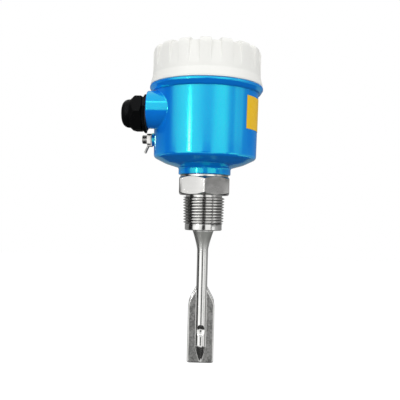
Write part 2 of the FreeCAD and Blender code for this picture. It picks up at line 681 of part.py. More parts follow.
def gland_body():
    """Hexagon with an entry thread below and slotted clamping claws above."""
    hex_base, hex_top, _, _, _ = gland_levels()
    nut = chamfered_hexagon(
        GLAND_HEX_ACROSS_FLATS, hex_base, hex_top, GLAND_HEX_TURN, GLAND_HEX_FACE_SHARE, ("top",))
    claw_shelf = hex_top + CLAW_SHELF
    stem = turned([
        (0, -GLAND_THREAD_LENGTH),
        (GLAND_THREAD_RADIUS, -GLAND_THREAD_LENGTH),
        (GLAND_THREAD_RADIUS, hex_base),
        (CLAW_ROOT_RADIUS, hex_base),
        (CLAW_ROOT_RADIUS, hex_top + CLAW_ROOT_LENGTH),
        (CLAW_TIP_RADIUS, hex_top + CLAW_LENGTH),
        (0, hex_top + CLAW_LENGTH),
    ])
    bore = turned([
        (0, -GLAND_THREAD_LENGTH - OVERRUN),
        (GLAND_BODY_BORE, -GLAND_THREAD_LENGTH - OVERRUN),
        (GLAND_BODY_BORE, claw_shelf),
        (CLAW_BORE_RADIUS, claw_shelf),
        (CLAW_BORE_RADIUS, hex_top + CLAW_LENGTH + OVERRUN),
        (0, hex_top + CLAW_LENGTH + OVERRUN),
    ])
    slot_size = (2 * CLAW_ROOT_RADIUS, CLAW_SLOT_WIDTH, CLAW_SLOT_DEPTH + OVERRUN)
    slot = block(slot_size, (0, 0), hex_top + CLAW_LENGTH - CLAW_SLOT_DEPTH)
    slots = [slot.rotated(ORIGIN, UP, step * 360.0 / CLAW_SLOTS) for step in range(CLAW_SLOTS // 2)]
    return placed(nut.fuse(stem).cut([bore] + slots).removeSplitter(), entry_frame())


def gland_nut():
    """Clamping nut: hexagon and rounded dome, hollow over the claws."""
    _, hex_top, nut_base, nut_top, dome_end = gland_levels()
    corner = NUT_ACROSS_FLATS / math.sqrt(3)
    barrel = turned([
        (0, nut_base),
        (NUT_ACROSS_FLATS / 2, nut_base),
        (corner, nut_base + NUT_FOOT_CHAMFER),
        (corner, nut_top - NUT_CHAMFER + (NUT_ACROSS_FLATS / 2 - corner)),
        (DOME_RADIUS, nut_top + NUT_SHOULDER),
        (0, nut_top + NUT_SHOULDER),
    ])
    shell = hexagon(NUT_ACROSS_FLATS, nut_base, nut_top + OVERRUN, NUT_HEX_TURN).common(barrel)
    dome = turned([
        (0, nut_base + OVERRUN),
        (DOME_RADIUS, nut_base + OVERRUN),
        (DOME_RADIUS, dome_end, DOME_EDGE_RADIUS),
        (0, dome_end),
    ])
    thread = CLAW_ROOT_RADIUS + FIT
    hollow = turned([
        (0, nut_base - OVERRUN),
        (thread, nut_base - OVERRUN),
        (thread, nut_base + CLAW_ROOT_LENGTH),
        (CLAW_TIP_RADIUS + NUT_TIP_GAP, hex_top + CLAW_LENGTH + NUT_GAP),
        (NUT_HOLE_RADIUS, dome_end - NUT_LAND_LENGTH),
        (NUT_HOLE_RADIUS, dome_end + OVERRUN),
        (0, dome_end + OVERRUN),
    ])
    return placed(shell.fuse(dome).cut(hollow).removeSplitter(), entry_frame())


def gland_seal():
    """Rubber sleeve inside the claws that grips the cable."""
    _, hex_top, _, _, _ = gland_levels()
    bottom = hex_top + CLAW_SHELF
    return placed(ring(SEAL_BORE_RADIUS, SEAL_RADIUS, bottom, bottom + SEAL_LENGTH), entry_frame())


def ground_tab():
    """Bent sheet behind the clamp block: it turns out under the block and then hangs away."""
    half = GROUND_CLAMP_WIDTH / 2
    t = GROUND_TAB_THICKNESS
    lean = math.radians(GROUND_TAB_ANGLE)
    leg_out = GROUND_TAB_LEG * math.cos(lean)
    leg_down = GROUND_TAB_LEG * math.sin(lean)
    foot = t + GROUND_TAB_FOOT
    under = -half - GROUND_TAB_GAP
    mitre = t * math.tan(lean / 2)
    sheet = rounded_wire([
        (0, half),
        (0, under - t),
        (foot - mitre, under - t),
        (foot - mitre + leg_out, under - t - leg_down),
        (foot - mitre + leg_out + t * math.sin(lean), under - t - leg_down + t * math.cos(lean)),
        (foot, under),
        (t, under),
        (t, half),
    ], lambda u, v: FreeCAD.Vector(v, -GROUND_TAB_WIDTH / 2, u))
    strip = Part.Face(sheet).extrude(FreeCAD.Vector(0, GROUND_TAB_WIDTH, 0))
    hole = rod(GROUND_SCREW_RADIUS + FIT, -OVERRUN, t + OVERRUN)
    return placed(strip.cut(hole), ground_frame())


def ground_clamp():
    """Square clamp block under the head of the earthing screw."""
    half = GROUND_CLAMP_WIDTH / 2
    low = GROUND_TAB_THICKNESS
    square = rounded_wire([
        (-half, -half, GROUND_CLAMP_CORNER),
        (half, -half, GROUND_CLAMP_CORNER),
        (half, half, GROUND_CLAMP_CORNER),
        (-half, half, GROUND_CLAMP_CORNER),
    ], lambda u, v: FreeCAD.Vector(u, v, low))
    plate = Part.Face(square).extrude(UP * GROUND_CLAMP_THICKNESS)
    hole = rod(GROUND_SCREW_RADIUS + FIT, 0, low + GROUND_CLAMP_THICKNESS + OVERRUN)
    return placed(plate.cut(hole), ground_frame())


def ground_screw():
    """Slotted screw of the earthing terminal."""
    seat = GROUND_TAB_THICKNESS + GROUND_CLAMP_THICKNESS
    top = seat + GROUND_HEAD_HEIGHT
    screw = turned([
        (0, -GROUND_SCREW_DEPTH),
        (GROUND_SCREW_RADIUS, -GROUND_SCREW_DEPTH),
        (GROUND_SCREW_RADIUS, seat),
        (GROUND_HEAD_RADIUS, seat),
        (GROUND_HEAD_RADIUS, top, GROUND_HEAD_EDGE),
        (0, top),
    ])
    return placed(slotted(screw, top), ground_frame())


def electronics_cup():
    """Potted insert with counterbored holes for its fixing screws."""
    cup = turned([
        (0, SEAT_Z),
        (CUP_RADIUS, SEAT_Z, CUP_EDGE_RADIUS),
        (CUP_RADIUS, CUP_TOP_Z, CUP_EDGE_RADIUS),
        (0, CUP_TOP_Z),
    ])
    cutters = []
    for angle in MODULE_SCREW_ANGLES:
        spot = polar(POST_CIRCLE_RADIUS, angle)
        hole_radius = MODULE_SCREW_RADIUS + MODULE_HOLE_GAP
        cutters.append(rod(hole_radius, SEAT_Z - OVERRUN, CUP_TOP_Z, spot.x, spot.y))
        shelf = CUP_TOP_Z - SCREW_COUNTERBORE_DEPTH
        cutters.append(rod(SCREW_COUNTERBORE_RADIUS, shelf, CUP_TOP_Z + OVERRUN, spot.x, spot.y))
    return cup.cut(cutters)


def module_screws():
    """Three slotted screws that hold the insert to the posts."""
    shelf = CUP_TOP_Z - SCREW_COUNTERBORE_DEPTH
    top = shelf + MODULE_HEAD_HEIGHT
    screw = turned([
        (0, SEAT_Z - MODULE_SCREW_BITE),
        (MODULE_SCREW_RADIUS, SEAT_Z - MODULE_SCREW_BITE),
        (MODULE_SCREW_RADIUS, shelf),
        (MODULE_HEAD_RADIUS, shelf),
        (MODULE_HEAD_RADIUS, top, MODULE_HEAD_EDGE),
        (0, top),
    ])
    screw = slotted(screw, top)
    return Part.makeCompound([screw.translated(polar(POST_CIRCLE_RADIUS, a)) for a in MODULE_SCREW_ANGLES])


def circuit_board():
    """Round board on the insert, cut away over the fixing screws."""
    board = rod(BOARD_RADIUS, CUP_TOP_Z, BOARD_TOP_Z)
    spots = [polar(POST_CIRCLE_RADIUS, angle) for angle in MODULE_SCREW_ANGLES]
    radius = SCREW_COUNTERBORE_RADIUS + MODULE_HOLE_GAP
    holes = [rod(radius, CUP_TOP_Z - OVERRUN, BOARD_TOP_Z + OVERRUN, s.x, s.y) for s in spots]
    return board.cut(holes)


def terminal_positions():
    """Places of the terminals along X."""
    first = -(TERMINAL_COUNT - 1) / 2 * TERMINAL_PITCH
    return [first + TERMINAL_PITCH * step for step in range(TERMINAL_COUNT)]


def terminal_block():
    """Moulded block with a screw well and a wire door for each terminal."""
    width = TERMINAL_COUNT * TERMINAL_PITCH + 2 * TERMINAL_END_WALL
    size = (width, TERMINAL_BLOCK_DEPTH, TERMINAL_BLOCK_HEIGHT)
    body = block(size, (0, TERMINAL_BLOCK_CENTRE_Y), BOARD_TOP_Z)
    top = BOARD_TOP_Z + TERMINAL_BLOCK_HEIGHT
    front = TERMINAL_BLOCK_CENTRE_Y - TERMINAL_BLOCK_DEPTH / 2
    cutters = []
    for x in terminal_positions():
        well_radius = TERMINAL_SCREW_RADIUS + FIT
        well_bottom = top - TERMINAL_WELL_DEPTH
        cutters.append(rod(well_radius, well_bottom, top + OVERRUN, x, TERMINAL_BLOCK_CENTRE_Y))
        door = (WIRE_DOOR, 2 * WIRE_DOOR_DEPTH, WIRE_DOOR)
        cutters.append(block(door, (x, front), BOARD_TOP_Z + WIRE_DOOR_RISE))
    return body.cut(cutters)


def terminal_screws():
    """Slotted clamping screws at the bottom of the wells."""
    shelf = BOARD_TOP_Z + TERMINAL_BLOCK_HEIGHT - TERMINAL_WELL_DEPTH
    top = shelf + TERMINAL_SCREW_HEIGHT
    screw = slotted(rod(TERMINAL_SCREW_RADIUS, shelf, top), top)
    spots = [FreeCAD.Vector(x, TERMINAL_BLOCK_CENTRE_Y, 0) for x in terminal_positions()]
    return Part.makeCompound([screw.translated(spot) for spot in spots])


def mode_switch():
    """Body of the selector switch with the slot that its slider runs in."""
    body = block(SWITCH_SIZE, SWITCH_CENTRE, BOARD_TOP_Z)
    slot_size = (
        SLIDER_SIZE[0] + SLIDER_TRAVEL + 2 * SLIDER_GAP, SLIDER_SIZE[1] + 2 * SLIDER_GAP, SWITCH_SIZE[2])
    return body.cut(block(slot_size, SWITCH_CENTRE, BOARD_TOP_Z + SWITCH_SIZE[2] - SWITCH_SLOT_DEPTH))


def mode_slider():
    """Slider of the selector, at the low end of its travel."""
    centre = (SWITCH_CENTRE[0] - SLIDER_TRAVEL / 2, SWITCH_CENTRE[1])
    return block(SLIDER_SIZE, centre, BOARD_TOP_Z + SWITCH_SIZE[2] - SWITCH_SLOT_DEPTH)


def trimmer():
    """Body of the trimmer with a round recess for its rotor."""
    body = block((TRIMMER_WIDTH, TRIMMER_WIDTH, TRIMMER_HEIGHT), TRIMMER_CENTRE, BOARD_TOP_Z)
    shelf = BOARD_TOP_Z + TRIMMER_HEIGHT - TRIMMER_RECESS_DEPTH
    return body.cut(rod(TRIMMER_ROTOR_RADIUS + FIT, shelf, shelf + TRIMMER_HEIGHT, *TRIMMER_CENTRE))


def trimmer_rotor():
    """Slotted rotor of the trimmer."""
    shelf = BOARD_TOP_Z + TRIMMER_HEIGHT - TRIMMER_RECESS_DEPTH
    top = shelf + TRIMMER_ROTOR_HEIGHT
    return slotted(rod(TRIMMER_ROTOR_RADIUS, shelf, top, *TRIMMER_CENTRE), top)


def status_leds():
    """Two round lamps on the board."""
    lamp = turned([
        (0, BOARD_TOP_Z),
        (LED_FOOT_RADIUS, BOARD_TOP_Z),
        (LED_FOOT_RADIUS, BOARD_TOP_Z + LED_FOOT_HEIGHT),
        (LED_RADIUS, BOARD_TOP_Z + LED_FOOT_HEIGHT),
        (LED_RADIUS, BOARD_TOP_Z + LED_BODY_HEIGHT + LED_RADIUS, LED_RADIUS * LED_DOME_SHARE),
        (0, BOARD_TOP_Z + LED_BODY_HEIGHT + LED_RADIUS),
    ])
    places = [FreeCAD.Vector(side * LED_SPACING / 2, LED_CENTRE_Y, 0) for side in (-1, 1)]
    return Part.makeCompound([lamp.translated(place) for place in places])


def stack_levels():
    """Top levels of the piezo stack: insulator, each ring, each electrode, upper insulator."""
    level = DIAPHRAGM_Z + INSULATOR_THICKNESS
    rings = []
    for _ in range(PIEZO_COUNT):
        rings.append(level)
        level += PIEZO_THICKNESS + ELECTRODE_THICKNESS
    return rings, level - ELECTRODE_THICKNESS


def piezo_rings():
    """Piezo rings of the drive, an electrode apart."""
    rings, _ = stack_levels()
    return Part.makeCompound([ring(PIEZO_BORE_RADIUS, PIEZO_RADIUS, z, z + PIEZO_THICKNESS) for z in rings])


def electrode_plates():
    """Thin contact plates between the rings, with tabs on alternate sides."""
    rings, _ = stack_levels()
    plates = []
    for step, level in enumerate(rings[:-1]):
        bottom = level + PIEZO_THICKNESS
        plate = ring(PIEZO_BORE_RADIUS, PIEZO_RADIUS, bottom, bottom + ELECTRODE_THICKNESS)
        side = 1 if step % 2 else -1
        tab_length = ELECTRODE_TAB_REACH - PIEZO_RADIUS / 2
        tab_size = (tab_length, ELECTRODE_TAB_WIDTH, ELECTRODE_THICKNESS)
        tab = block(tab_size, (side * (ELECTRODE_TAB_REACH - tab_length / 2), 0), bottom)
        plates.append(plate.fuse(tab).removeSplitter())
    return Part.makeCompound(plates)


def lower_insulator():
    """Ceramic washer between the diaphragm and the stack."""
    outer = PIEZO_RADIUS + INSULATOR_RIM
    return ring(PIEZO_BORE_RADIUS, outer, DIAPHRAGM_Z, DIAPHRAGM_Z + INSULATOR_THICKNESS)


def upper_insulator():
    """Ceramic washer between the stack and the clamping nut."""
    _, top = stack_levels()
    return ring(PIEZO_BORE_RADIUS, PIEZO_RADIUS, top, top + INSULATOR_THICKNESS)


def drive_stud():
    """Stud on the diaphragm that the stack is clamped on."""
    return rod(STUD_RADIUS, DIAPHRAGM_Z, DIAPHRAGM_Z + STUD_LENGTH)


def clamp_nut():
    """Nut that holds the stack down."""
    _, stack_top = stack_levels()
    base = stack_top + INSULATOR_THICKNESS
    top = base + CLAMP_NUT_HEIGHT
    nut = chamfered_hexagon(
        CLAMP_NUT_ACROSS_FLATS, base, top, 0, CLAMP_NUT_FACE_SHARE, ("bottom", "top"))
    return nut.cut(rod(STUD_RADIUS + FIT, base - OVERRUN, top + OVERRUN))


def lead_plug():
    """Plug under the insert that the drive's leads leave from."""
    return rod(PLUG_RADIUS, SEAT_Z - PLUG_HEIGHT, SEAT_Z)


def lead(side, end):
    """One insulated lead from the plug down to an electrode tab."""
    start = SEAT_Z - PLUG_HEIGHT
    low = PIEZO_RADIUS + LEAD_STAND_OFF
    first = FreeCAD.Vector(side * LEAD_SPREAD, 0, start - LEAD_BEND_TOP)
    second = FreeCAD.Vector(side * low, 0, start - LEAD_BEND_BOTTOM)
    slant = (second - first).normalize()
    bend = UP.getAngle(slant * -1)
    trim = LEAD_BEND_RADIUS * math.tan(bend / 2)
    bulge = LEAD_BEND_RADIUS / math.cos(bend / 2) - LEAD_BEND_RADIUS
    edges = []
    begin = FreeCAD.Vector(side * LEAD_SPREAD, 0, start)
    for corner, before, after in ((first, UP * -1, slant), (second, slant, UP * -1)):
        enter = corner - before * trim
        leave = corner + after * trim
        middle = corner + (after - before).normalize() * bulge
        edges.append(Part.makeLine(begin, enter))
        edges.append(Part.Arc(enter, middle, leave).toShape())
        begin = leave
    edges.append(Part.makeLine(begin, FreeCAD.Vector(side * low, 0, end)))
    section = Part.makeCircle(LEAD_RADIUS, FreeCAD.Vector(side * LEAD_SPREAD, 0, start), UP)
    return Part.Wire(edges).makePipeShell([Part.Wire([section])], True, False)


def sensor_leads():
    """Two leads, one to each side of the stack."""
    rings, _ = stack_levels()
    tops = [level + PIEZO_THICKNESS + ELECTRODE_THICKNESS for level in rings[:-1]]
    return Part.makeCompound([lead(1, tops[1]), lead(-1, tops[2])])


NODES = (
    housing, id_sticker, cover, cover_gasket, gland_washer, gland_body, gland_nut, gland_seal,
    ground_tab, ground_clamp, ground_screw, process_fitting, neck_seal, fork, electronics_cup,
    module_screws, circuit_board, terminal_block, terminal_screws, mode_switch, mode_slider,
    trimmer, trimmer_rotor, status_leds, piezo_rings, electrode_plates, lower_insulator,
    upper_insulator, drive_stud, clamp_nut, lead_plug, sensor_leads,
)

os.makedirs("parts", exist_ok=True)
for node in NODES:
    save(node.__name__, node())
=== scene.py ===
"""Looks of a vibrating fork level switch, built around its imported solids."""

import logging
import math
from abc import ABC, abstractmethod
from dataclasses import dataclass, field
from enum import Enum
from typing import Any, Callable, ClassVar, Sequence, Union

import bpy
import numpy as np
from mathutils import Matrix, Vector


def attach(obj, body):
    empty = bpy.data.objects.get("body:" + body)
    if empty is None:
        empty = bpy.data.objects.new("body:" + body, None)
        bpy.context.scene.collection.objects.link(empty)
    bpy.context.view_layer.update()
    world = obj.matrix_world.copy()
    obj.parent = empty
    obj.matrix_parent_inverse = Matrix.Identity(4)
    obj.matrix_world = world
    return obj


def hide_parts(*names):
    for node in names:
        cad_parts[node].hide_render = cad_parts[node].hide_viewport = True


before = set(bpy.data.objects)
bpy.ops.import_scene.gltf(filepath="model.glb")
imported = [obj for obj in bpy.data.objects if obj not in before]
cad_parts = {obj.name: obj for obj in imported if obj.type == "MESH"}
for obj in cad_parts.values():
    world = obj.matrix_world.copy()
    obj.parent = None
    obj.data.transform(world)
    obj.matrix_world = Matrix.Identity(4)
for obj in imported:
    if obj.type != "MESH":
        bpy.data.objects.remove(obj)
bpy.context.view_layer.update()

Rgb = tuple[float, float, float]
Xyz = tuple[float, float, float]
Point = tuple[float, float]
Corner = tuple[float, ...]
Piece = bpy.types.Object
Socket = bpy.types.NodeSocket
Feed = Union[Socket, float, Sequence[float]]

MM = 0.001
TURN = 2 * math.pi
WELD = 1e-6
WHITE = (1.0, 1.0, 1.0, 1.0)
LOG = logging.getLogger("level_switch")


class Body(Enum):
    """Bodies of the frame that new pieces ride on."""

    SWITCH = "switch_body"
    COVER = "cover"


class Hand(Enum):
    """Side of a wall that a thread's ridge stands on."""

    OUTSIDE = 1
    INSIDE = -1


class Merge(Enum):
    """What is kept of two closed shells."""

    COMMON = "INTERSECT"
    BOTH = "UNION"


class Backing(Enum):
    """What shows through the light of a studio card."""

    SOLID = "nothing"
    CLEAR = "all that lies behind it"
    ONE_SIDED = "all that lies behind its back"


def rounded(corners: Sequence[Corner], steps: int = 6) -> list[Point]:
    """Replaces the corners of an open outline by arcs.

    Args:
        corners: (u, v) or (u, v, radius) of each corner in millimetres.
        steps: straight pieces in each arc.

    Returns:
        The points of the outline in millimetres.
    """
    points: list[Point] = []
    for index, corner in enumerate(corners):
        here = Vector(corner[:2])
        radius = corner[2] if len(corner) > 2 else 0.0
        if radius == 0.0:
            points.append((here.x, here.y))
            continue
        back = (Vector(corners[index - 1][:2]) - here).normalized()
        ahead = (Vector(corners[index + 1][:2]) - here).normalized()
        half = back.angle(ahead) / 2
        centre = here + (back + ahead).normalized() * (radius / math.sin(half))
        first = here + back * (radius / math.tan(half)) - centre
        last = here + ahead * (radius / math.tan(half)) - centre
        sweep = first.angle_signed(last)
        for step in range(steps + 1):
            turn = Matrix.Rotation(-sweep * step / steps, 2)
            point = centre + turn @ first
            points.append((point.x, point.y))
    return points


class Bench:
    """Modelling steps that the sub-assemblies share."""

    @staticmethod
    def pick(piece: Piece) -> None:
        """Makes a piece the only selected and active one.

        Args:
            piece: the piece.
        """
        bpy.ops.object.select_all(action="DESELECT")
        piece.select_set(True)
        bpy.context.view_layer.objects.active = piece

    @staticmethod
    def edit(piece: Piece) -> None:
        """Opens a piece in edit mode with everything selected.

        Args:
            piece: the piece.
        """
        Bench.pick(piece)
        bpy.ops.object.mode_set(mode="EDIT")
        bpy.ops.mesh.select_all(action="SELECT")

    @staticmethod
    def close() -> None:
        """Leaves edit mode."""
        bpy.ops.object.mode_set(mode="OBJECT")

    @staticmethod
    def add(name: str, maker: Callable[..., set[str]], settle: bool = True, **settings: Any) -> Piece:
        """Adds a primitive mesh.

        Args:
            name: name of the new piece.
            maker: operator that makes it.
            settle: whether its place goes into its mesh.
            settings: its sizes and place.

        Returns:
            The new piece.
        """
        bpy.ops.object.select_all(action="DESELECT")
        maker(**settings)
        if settle:
            bpy.ops.object.transform_apply(location=True, rotation=True, scale=True)
        piece = bpy.context.object
        piece.name = name
        piece.data.name = name
        return piece

    @staticmethod
    def trace(name: str, points: Sequence[Point], ring: bool = False) -> Piece:
        """Draws an outline in the XZ plane by extruding one vertex from point to point.

        Args:
            name: name of the new piece.
            points: (radius, height) of each point in millimetres.
            ring: whether the last point joins the first one.

        Returns:
            A piece of loose edges.
        """
        piece = Bench.add(name, bpy.ops.mesh.primitive_plane_add, size=MM)
        Bench.edit(piece)
        bpy.ops.mesh.merge(type="CENTER")
        bpy.ops.transform.translate(value=(points[0][0] * MM, 0, points[0][1] * MM))
        for (r0, z0), (r1, z1) in zip(points, points[1:]):
            move = {"value": ((r1 - r0) * MM, 0, (z1 - z0) * MM)}
            bpy.ops.mesh.extrude_region_move(TRANSFORM_OT_translate=move)
        Bench.close()
        if ring:
            for vertex in piece.data.vertices:
                vertex.select = vertex.index in (0, len(points) - 1)
            bpy.ops.object.mode_set(mode="EDIT")
            bpy.ops.mesh.edge_face_add()
            Bench.close()
        return piece

    @staticmethod
    def mend(piece: Piece) -> None:
        """Merges doubled vertices and turns all faces outwards.

        Args:
            piece: the piece.
        """
        Bench.edit(piece)
        bpy.ops.mesh.remove_doubles(threshold=WELD)
        bpy.ops.mesh.normals_make_consistent(inside=False)
        Bench.close()

    @staticmethod
    def turned(name: str, points: Sequence[Point], steps: int, ring: bool = False) -> Piece:
        """Turns an outline about the Z axis.

        Args:
            name: name of the new piece.
            points: (radius, height) of each point in millimetres.
            steps: divisions of the full turn.
            ring: whether the outline is closed on itself, clear of the axis.

        Returns:
            The closed shell.
        """
        piece = Bench.trace(name, points, ring)
        Bench.edit(piece)
        bpy.ops.mesh.spin(steps=steps, angle=TURN, center=(0, 0, 0), axis=(0, 0, 1))
        Bench.close()
        Bench.mend(piece)
        return piece

    @staticmethod
    def helix(
            name: str, points: Sequence[Point], pitch: float, turns: int, steps: int, ring: bool) -> Piece:
        """Winds an outline about the Z axis as a right-hand thread.

        Args:
            name: name of the new piece.
            points: (radius, height) of each point in millimetres.
            pitch: rise of one turn in millimetres.
            turns: number of full turns.
            steps: divisions of one turn.
            ring: whether the outline is closed on itself.

        Returns:
            The wound shell, open at both ends.
        """
        piece = Bench.trace(name, points, ring)
        Bench.pick(piece)
        wind = piece.modifiers.new("wind", "SCREW")
        wind.axis = "Z"
        wind.angle = TURN
        wind.screw_offset = pitch * MM
        wind.iterations = turns
        wind.steps = steps
        wind.render_steps = steps
        wind.use_merge_vertices = True
        wind.merge_threshold = WELD
        bpy.ops.object.modifier_apply(modifier="wind")
        return piece

    @staticmethod
    def combine(piece: Piece, tool: Piece, merge: Merge) -> None:
        """Applies a boolean between two closed shells and removes the second one.

        Args:
            piece: shell that is changed.
            tool: shell that is used up.
            merge: what is kept of both.
        """
        Bench.pick(piece)
        step = piece.modifiers.new("combine", "BOOLEAN")
        step.operation = merge.value
        step.solver = "EXACT"
        step.object = tool
        bpy.ops.object.modifier_apply(modifier="combine")
        bpy.data.objects.remove(tool)

    @staticmethod
    def joined(first: Piece, *others: Piece) -> Piece:
        """Joins pieces into the first one.

        Args:
            first: piece that takes in the others.
            others: pieces that are used up.

        Returns:
            The first piece.
        """
        Bench.pick(first)
        for other in others:
            other.select_set(True)
        bpy.ops.object.join()
        return first

    @staticmethod
    def smooth(piece: Piece, angle: float) -> None:
        """Shades a piece smooth up to an angle in degrees."""
        Bench.pick(piece)
        bpy.ops.object.shade_smooth_by_angle(angle=math.radians(angle))


@dataclass(frozen=True)
class Layer:
    """Colour that lies over another where its mask says so."""

    mask: Socket
    share: float
    colour: Rgb


class Sheet:
    """Node tree of one material or effect, with short ways to add and join nodes."""

    def __init__(self, tree: bpy.types.NodeTree) -> None:
        """Takes over a tree."""
        self.tree = tree

    def add(self, kind: str, **settings: Any) -> bpy.types.Node:
        """Adds a node and sets its properties.

        Args:
            kind: type of the node.
            settings: its properties.

        Returns:
            The new node.
        """
        node = self.tree.nodes.new(kind)
        for name, value in settings.items():
            setattr(node, name, value)
        return node

    def feed(self, target: Socket, value: Feed) -> None:
        """Links a socket to another, or sets its value.

        Args:
            target: socket that takes the value.
            value: a socket or a plain value.
        """
        if isinstance(value, bpy.types.NodeSocket):
            self.tree.links.new(value, target)
        else:
            target.default_value = value

    def calc(self, operation: str, *values: Feed) -> Socket:
        """Adds a math node.

        Args:
            operation: what the node does.
            values: its inputs in order.

        Returns:
            The result.
        """
        node = self.add("ShaderNodeMath", operation=operation)
        for socket, value in zip(node.inputs, values):
            self.feed(socket, value)
        return node.outputs[0]

    def span(self, value: Feed, low: float, high: float, first: float = 0.0, last: float = 1.0) -> Socket:
        """Maps a value smoothly from one range to another, clamped.

        Args:
            value: the value to map.
            low: value that gives first.
            high: value that gives last.
            first: result at low.
            last: result at high.

        Returns:
            The mapped value.
        """
        node = self.add("ShaderNodeMapRange", interpolation_type="SMOOTHSTEP")
        for socket, given in zip(node.inputs, (value, low, high, first, last)):
            self.feed(socket, given)
        return node.outputs[0]

    def blend(self, share: Feed, first: Feed, second: Feed) -> Socket:
        """Mixes two colours by a share from 0 to 1.

        Args:
            share: share of the second colour.
            first: colour at 0.
            second: colour at 1.

        Returns:
            The mixed colour.
        """
        node = self.add("ShaderNodeMix", data_type="RGBA")
        self.feed(node.inputs[0], share)
        for socket, colour in ((node.inputs[6], first), (node.inputs[7], second)):
            self.feed(socket, colour if isinstance(colour, bpy.types.NodeSocket) else (*colour, 1.0))
        return node.outputs[2]

    def layered(self, colour: Feed, *layers: Layer) -> Feed:
        """Lays colours over a first one, each by its mask.

        Args:
            colour: the lowest colour.
            layers: what lies over it, from below.

        Returns:
            The colour seen from above.
        """
        for layer in layers:
            colour = self.blend(self.calc("MULTIPLY", layer.mask, layer.share), colour, layer.colour)
        return colour

    def noise(self, vector: Socket, scale: Feed, detail: float = 2.0, rough: float = 0.5) -> Socket:
        """Adds cloud noise.

        Args:
            vector: coordinates that it lies on.
            scale: clouds in a metre.
            detail: number of finer layers.
            rough: weight of the finer layers.

        Returns:
            A value from 0 to 1.
        """
        node = self.add("ShaderNodeTexNoise")
        for name, value in (("Vector", vector), ("Scale", scale), ("Detail", detail), ("Roughness", rough)):
            self.feed(node.inputs[name], value)
        return node.outputs["Fac"]

    def stretched(self, vector: Socket, scale: Xyz) -> Socket:
        """Scales coordinates along each axis.

        Args:
            vector: the coordinates.
            scale: factor along each axis.

        Returns:
            The scaled coordinates.
        """
        node = self.add("ShaderNodeMapping")
        self.feed(node.inputs["Vector"], vector)
        self.feed(node.inputs["Scale"], scale)
        return node.outputs[0]

    def axis(self, vector: Socket, name: str) -> Socket:
        """Takes one coordinate out of a vector.

        Args:
            vector: the vector.
            name: X, Y or Z.

        Returns:
            The coordinate.
        """
        node = self.add("ShaderNodeSeparateXYZ")
        self.feed(node.inputs[0], vector)
        return node.outputs[name]


class Effect(ABC):
    """Surface effect that several finishes share, kept as one node group."""

    title: str
    inputs: dict[str, float]
    outputs: tuple[str, ...]

    @abstractmethod
    def draw(self, sheet: Sheet, given: dict[str, Socket]) -> tuple[Socket, ...]:
        """Draws the nodes of the effect and returns its outputs in order."""

    def tree(self) -> bpy.types.NodeTree:
        """Makes the group at its first use.

        Returns:
            The group.
        """
        found = bpy.data.node_groups.get(self.title)
        if found:
            return found
        tree = bpy.data.node_groups.new(self.title, "ShaderNodeTree")
        tree.interface.new_socket(name="Vector", in_out="INPUT", socket_type="NodeSocketVector")
        for name, value in self.inputs.items():
            socket = tree.interface.new_socket(name=name, in_out="INPUT", socket_type="NodeSocketFloat")
            socket.default_value = value
        for name in self.outputs:
            tree.interface.new_socket(name=name, in_out="OUTPUT", socket_type="NodeSocketFloat")
        sheet = Sheet(tree)
        start = sheet.add("NodeGroupInput")
        end = sheet.add("NodeGroupOutput")
        given = {socket.name: socket for socket in start.outputs if socket.name}
        for name, result in zip(self.outputs, self.draw(sheet, given)):
            sheet.feed(end.inputs[name], result)
        return tree

    def place(self, sheet: Sheet, vector: Socket, **values: Feed) -> list[Socket]:
        """Places the group in a material.

        Args:
            sheet: node tree of the material.
            vector: coordinates that the effect lies on.
            values: the group's inputs by name.

        Returns:
            The group's outputs in order.
        """
        node = sheet.add("ShaderNodeGroup", node_tree=self.tree())
        sheet.feed(node.inputs["Vector"], vector)
        for name, value in values.items():
            sheet.feed(node.inputs[name], value)
        return [node.outputs[name] for name in self.outputs]


class OrangePeel(Effect):
    """Slow ripple of sprayed paint with a finer one on top."""

    title = "orange_peel"
    inputs = {"Ripple": 260.0, "Fine": 0.25}
    outputs = ("Height",)

    def draw(self, sheet: Sheet, given: dict[str, Socket]) -> tuple[Socket, ...]:
        """Adds two sizes of ripple.

        Args:
            sheet: node tree of the group.
            given: the group's inputs by name.

        Returns:
            The height.
        """
        slow = sheet.noise(given["Vector"], given["Ripple"], 1.0)
        quick = sheet.noise(given["Vector"], sheet.calc("MULTIPLY", given["Ripple"], 4.0), 1.0)
        return (sheet.calc("MULTIPLY_ADD", quick, given["Fine"], slow),)


class Smudge(Effect):
    """Uneven gloss from handling: broad soft patches with faint fine streaks."""

    title = "smudge"
    inputs = {"Low": 0.1, "High": 0.2, "Size": 45.0}
    outputs = ("Gloss", "Patch")

    def draw(self, sheet: Sheet, given: dict[str, Socket]) -> tuple[Socket, ...]:
        """Mixes broad patches and streaks between the low and the high value.

        Args:
            sheet: node tree of the group.
            given: the group's inputs by name.

        Returns:
            The roughness and the patches.
        """
        broad = sheet.noise(given["Vector"], given["Size"], 4.0, 0.6)
        fine = sheet.noise(given["Vector"], sheet.calc("MULTIPLY", given["Size"], 24.0), 2.0)
        both = sheet.calc("MULTIPLY_ADD", fine, 0.35, sheet.calc("MULTIPLY", broad, 0.65))
        patch = sheet.span(both, 0.35, 0.65)
        reach = sheet.calc("SUBTRACT", given["High"], given["Low"])
        return sheet.calc("MULTIPLY_ADD", patch, reach, given["Low"]), patch


